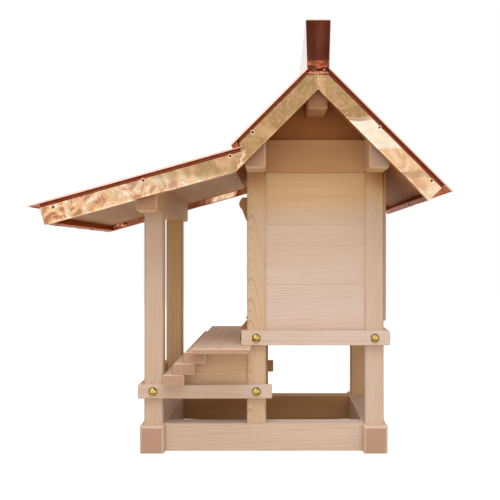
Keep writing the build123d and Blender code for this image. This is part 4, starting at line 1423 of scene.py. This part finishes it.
class SHRINE_OT_stage(bpy.types.Operator):
    """Set the floor, the light and the camera"""

    bl_idname = "shrine.stage"
    bl_label = "Set the stage"

    def execute(self, context):
        scene = context.scene
        stage = scene.shrine_stage
        scene.view_settings.view_transform = "Standard"
        self.floor(scene, stage)
        self.daylight(scene, stage)
        for name, (place, side, watts, tint, mirrored) in LAMPS.items():
            self.lamp(scene, name, place, side, getattr(stage, watts), getattr(stage, tint), mirrored)
        self.camera(scene, stage)
        return {"FINISHED"}

    def floor(self, scene, stage):
        """Flat square floor, which the camera sees nearly white outside the base."""
        half = stage.floor_side / 2
        mesh = bpy.data.meshes.new("floor")
        corners = [(-half, -half, 0), (half, -half, 0), (half, half, 0), (-half, half, 0)]
        mesh.from_pydata(corners, [], [(0, 1, 2, 3)])
        g = Graph("pale_floor")
        low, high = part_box("base_side_beams")
        spot = g.node("SeparateXYZ", Vector=g.place()).outputs
        aside = g.math("SUBTRACT", g.math("ABSOLUTE", spot[0]), high.x)
        from_middle = g.math("ABSOLUTE", g.math("SUBTRACT", spot[1], (low.y + high.y) / 2))
        past = g.math("SUBTRACT", from_middle, (high.y - low.y) / 2)
        clear = g.fit(g.math("MAXIMUM", aside, past), -stage.floor_fade, 0.0, 0.0, stage.floor_white)
        glow = g.math("MULTIPLY", g.seen(), clear)
        mesh.materials.append(g.surface(Base_Color=stage.floor, Roughness=0.8, Specular_IOR_Level=0.0,
                                        Emission_Color=WHITE, Emission_Strength=glow))
        floor = bpy.data.objects.new("floor", mesh)
        scene.collection.objects.link(floor)

    def daylight(self, scene, stage):
        """Even light from all around, and white where the camera, metal or glass sees past the floor."""
        g = Graph("daylight", "worlds", "Background")
        light = tuple(stage.daylight * part for part in stage.daylight_tint)
        scene.world = g.surface(Color=g.mix(g.seen(), light, WHITE), Strength=1.0)

    def lamp(self, scene, name, place, side, watts, tint, mirrored):
        """Square lamp that faces the middle of the shrine, and lights it or only shows in the metal."""
        data = bpy.data.lights.new(name, "AREA")
        data.size = side
        data.energy = watts
        data.color = tint
        lamp = bpy.data.objects.new(name, data)
        scene.collection.objects.link(lamp)
        aim = (CAD_BOX[0] + CAD_BOX[1]) / 2
        lamp.location = place
        lamp.rotation_euler = (aim - lamp.location).to_track_quat("-Z", "Y").to_euler()
        lamp.visible_glossy = mirrored
        lamp.visible_diffuse = not mirrored

    def camera(self, scene, stage):
        """Camera square to the right side, with its frame shifted as far as the picture's is."""
        data = bpy.data.cameras.new("camera")
        data.sensor_width = SENSOR_WIDTH
        data.lens = SENSOR_WIDTH * PICTURE_FOCAL / PICTURE_SIDE
        data.shift_x = (PICTURE_SIDE / 2 - PICTURE_EYE[0]) / PICTURE_SIDE
        data.shift_y = (PICTURE_EYE[1] - PICTURE_SIDE / 2) / PICTURE_SIDE
        camera = bpy.data.objects.new("camera", data)
        scene.collection.objects.link(camera)
        camera.location = (stage.eye_x, stage.eye_y, stage.eye_z)
        camera.rotation_euler = (math.pi / 2, 0.0, math.pi / 2)
        scene.camera = camera


OPERATORS = (SHRINE_OT_timber, SHRINE_OT_wall_boards, SHRINE_OT_verge_boards, SHRINE_OT_eave_boards,
             SHRINE_OT_roof_sheets, SHRINE_OT_ridge, SHRINE_OT_verge_seams, SHRINE_OT_brass_studs,
             SHRINE_OT_copper_nails, SHRINE_OT_stage)
GROUPS = {"shrine_timber": ShrineTimber, "shrine_copper": ShrineCopper, "shrine_brass": ShrineBrass,
          "shrine_stage": ShrineStage}


class SHRINE_PT_sidebar(bpy.types.Panel):
    """Sizes, colours and steps of the shrine"""

    bl_idname = "SHRINE_PT_sidebar"
    bl_label = "Shrine"
    bl_space_type = "VIEW_3D"
    bl_region_type = "UI"
    bl_category = "Shrine"

    def draw(self, context):
        for operator in OPERATORS:
            self.layout.operator(operator.bl_idname)
        for name, group in GROUPS.items():
            box = self.layout.box()
            for value in group.__annotations__:
                box.prop(getattr(context.scene, name), value)


CLASSES = (*GROUPS.values(), *OPERATORS, SHRINE_PT_sidebar)


def register():
    """Register the classes and hang the settings on the scene."""
    for kind in CLASSES:
        bpy.utils.register_class(kind)
    for name, group in GROUPS.items():
        setattr(bpy.types.Scene, name, PointerProperty(type=group))


def unregister():
    """Take the settings and the classes away again."""
    for name in GROUPS:
        delattr(bpy.types.Scene, name)
    for kind in reversed(CLASSES):
        bpy.utils.unregister_class(kind)


def main():
    """Make every piece in order."""
    register()
    for operator in OPERATORS:
        group, name = operator.bl_idname.split(".")
        getattr(getattr(bpy.ops, group), name)()
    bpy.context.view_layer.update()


if __name__ == "__main__":
    main()
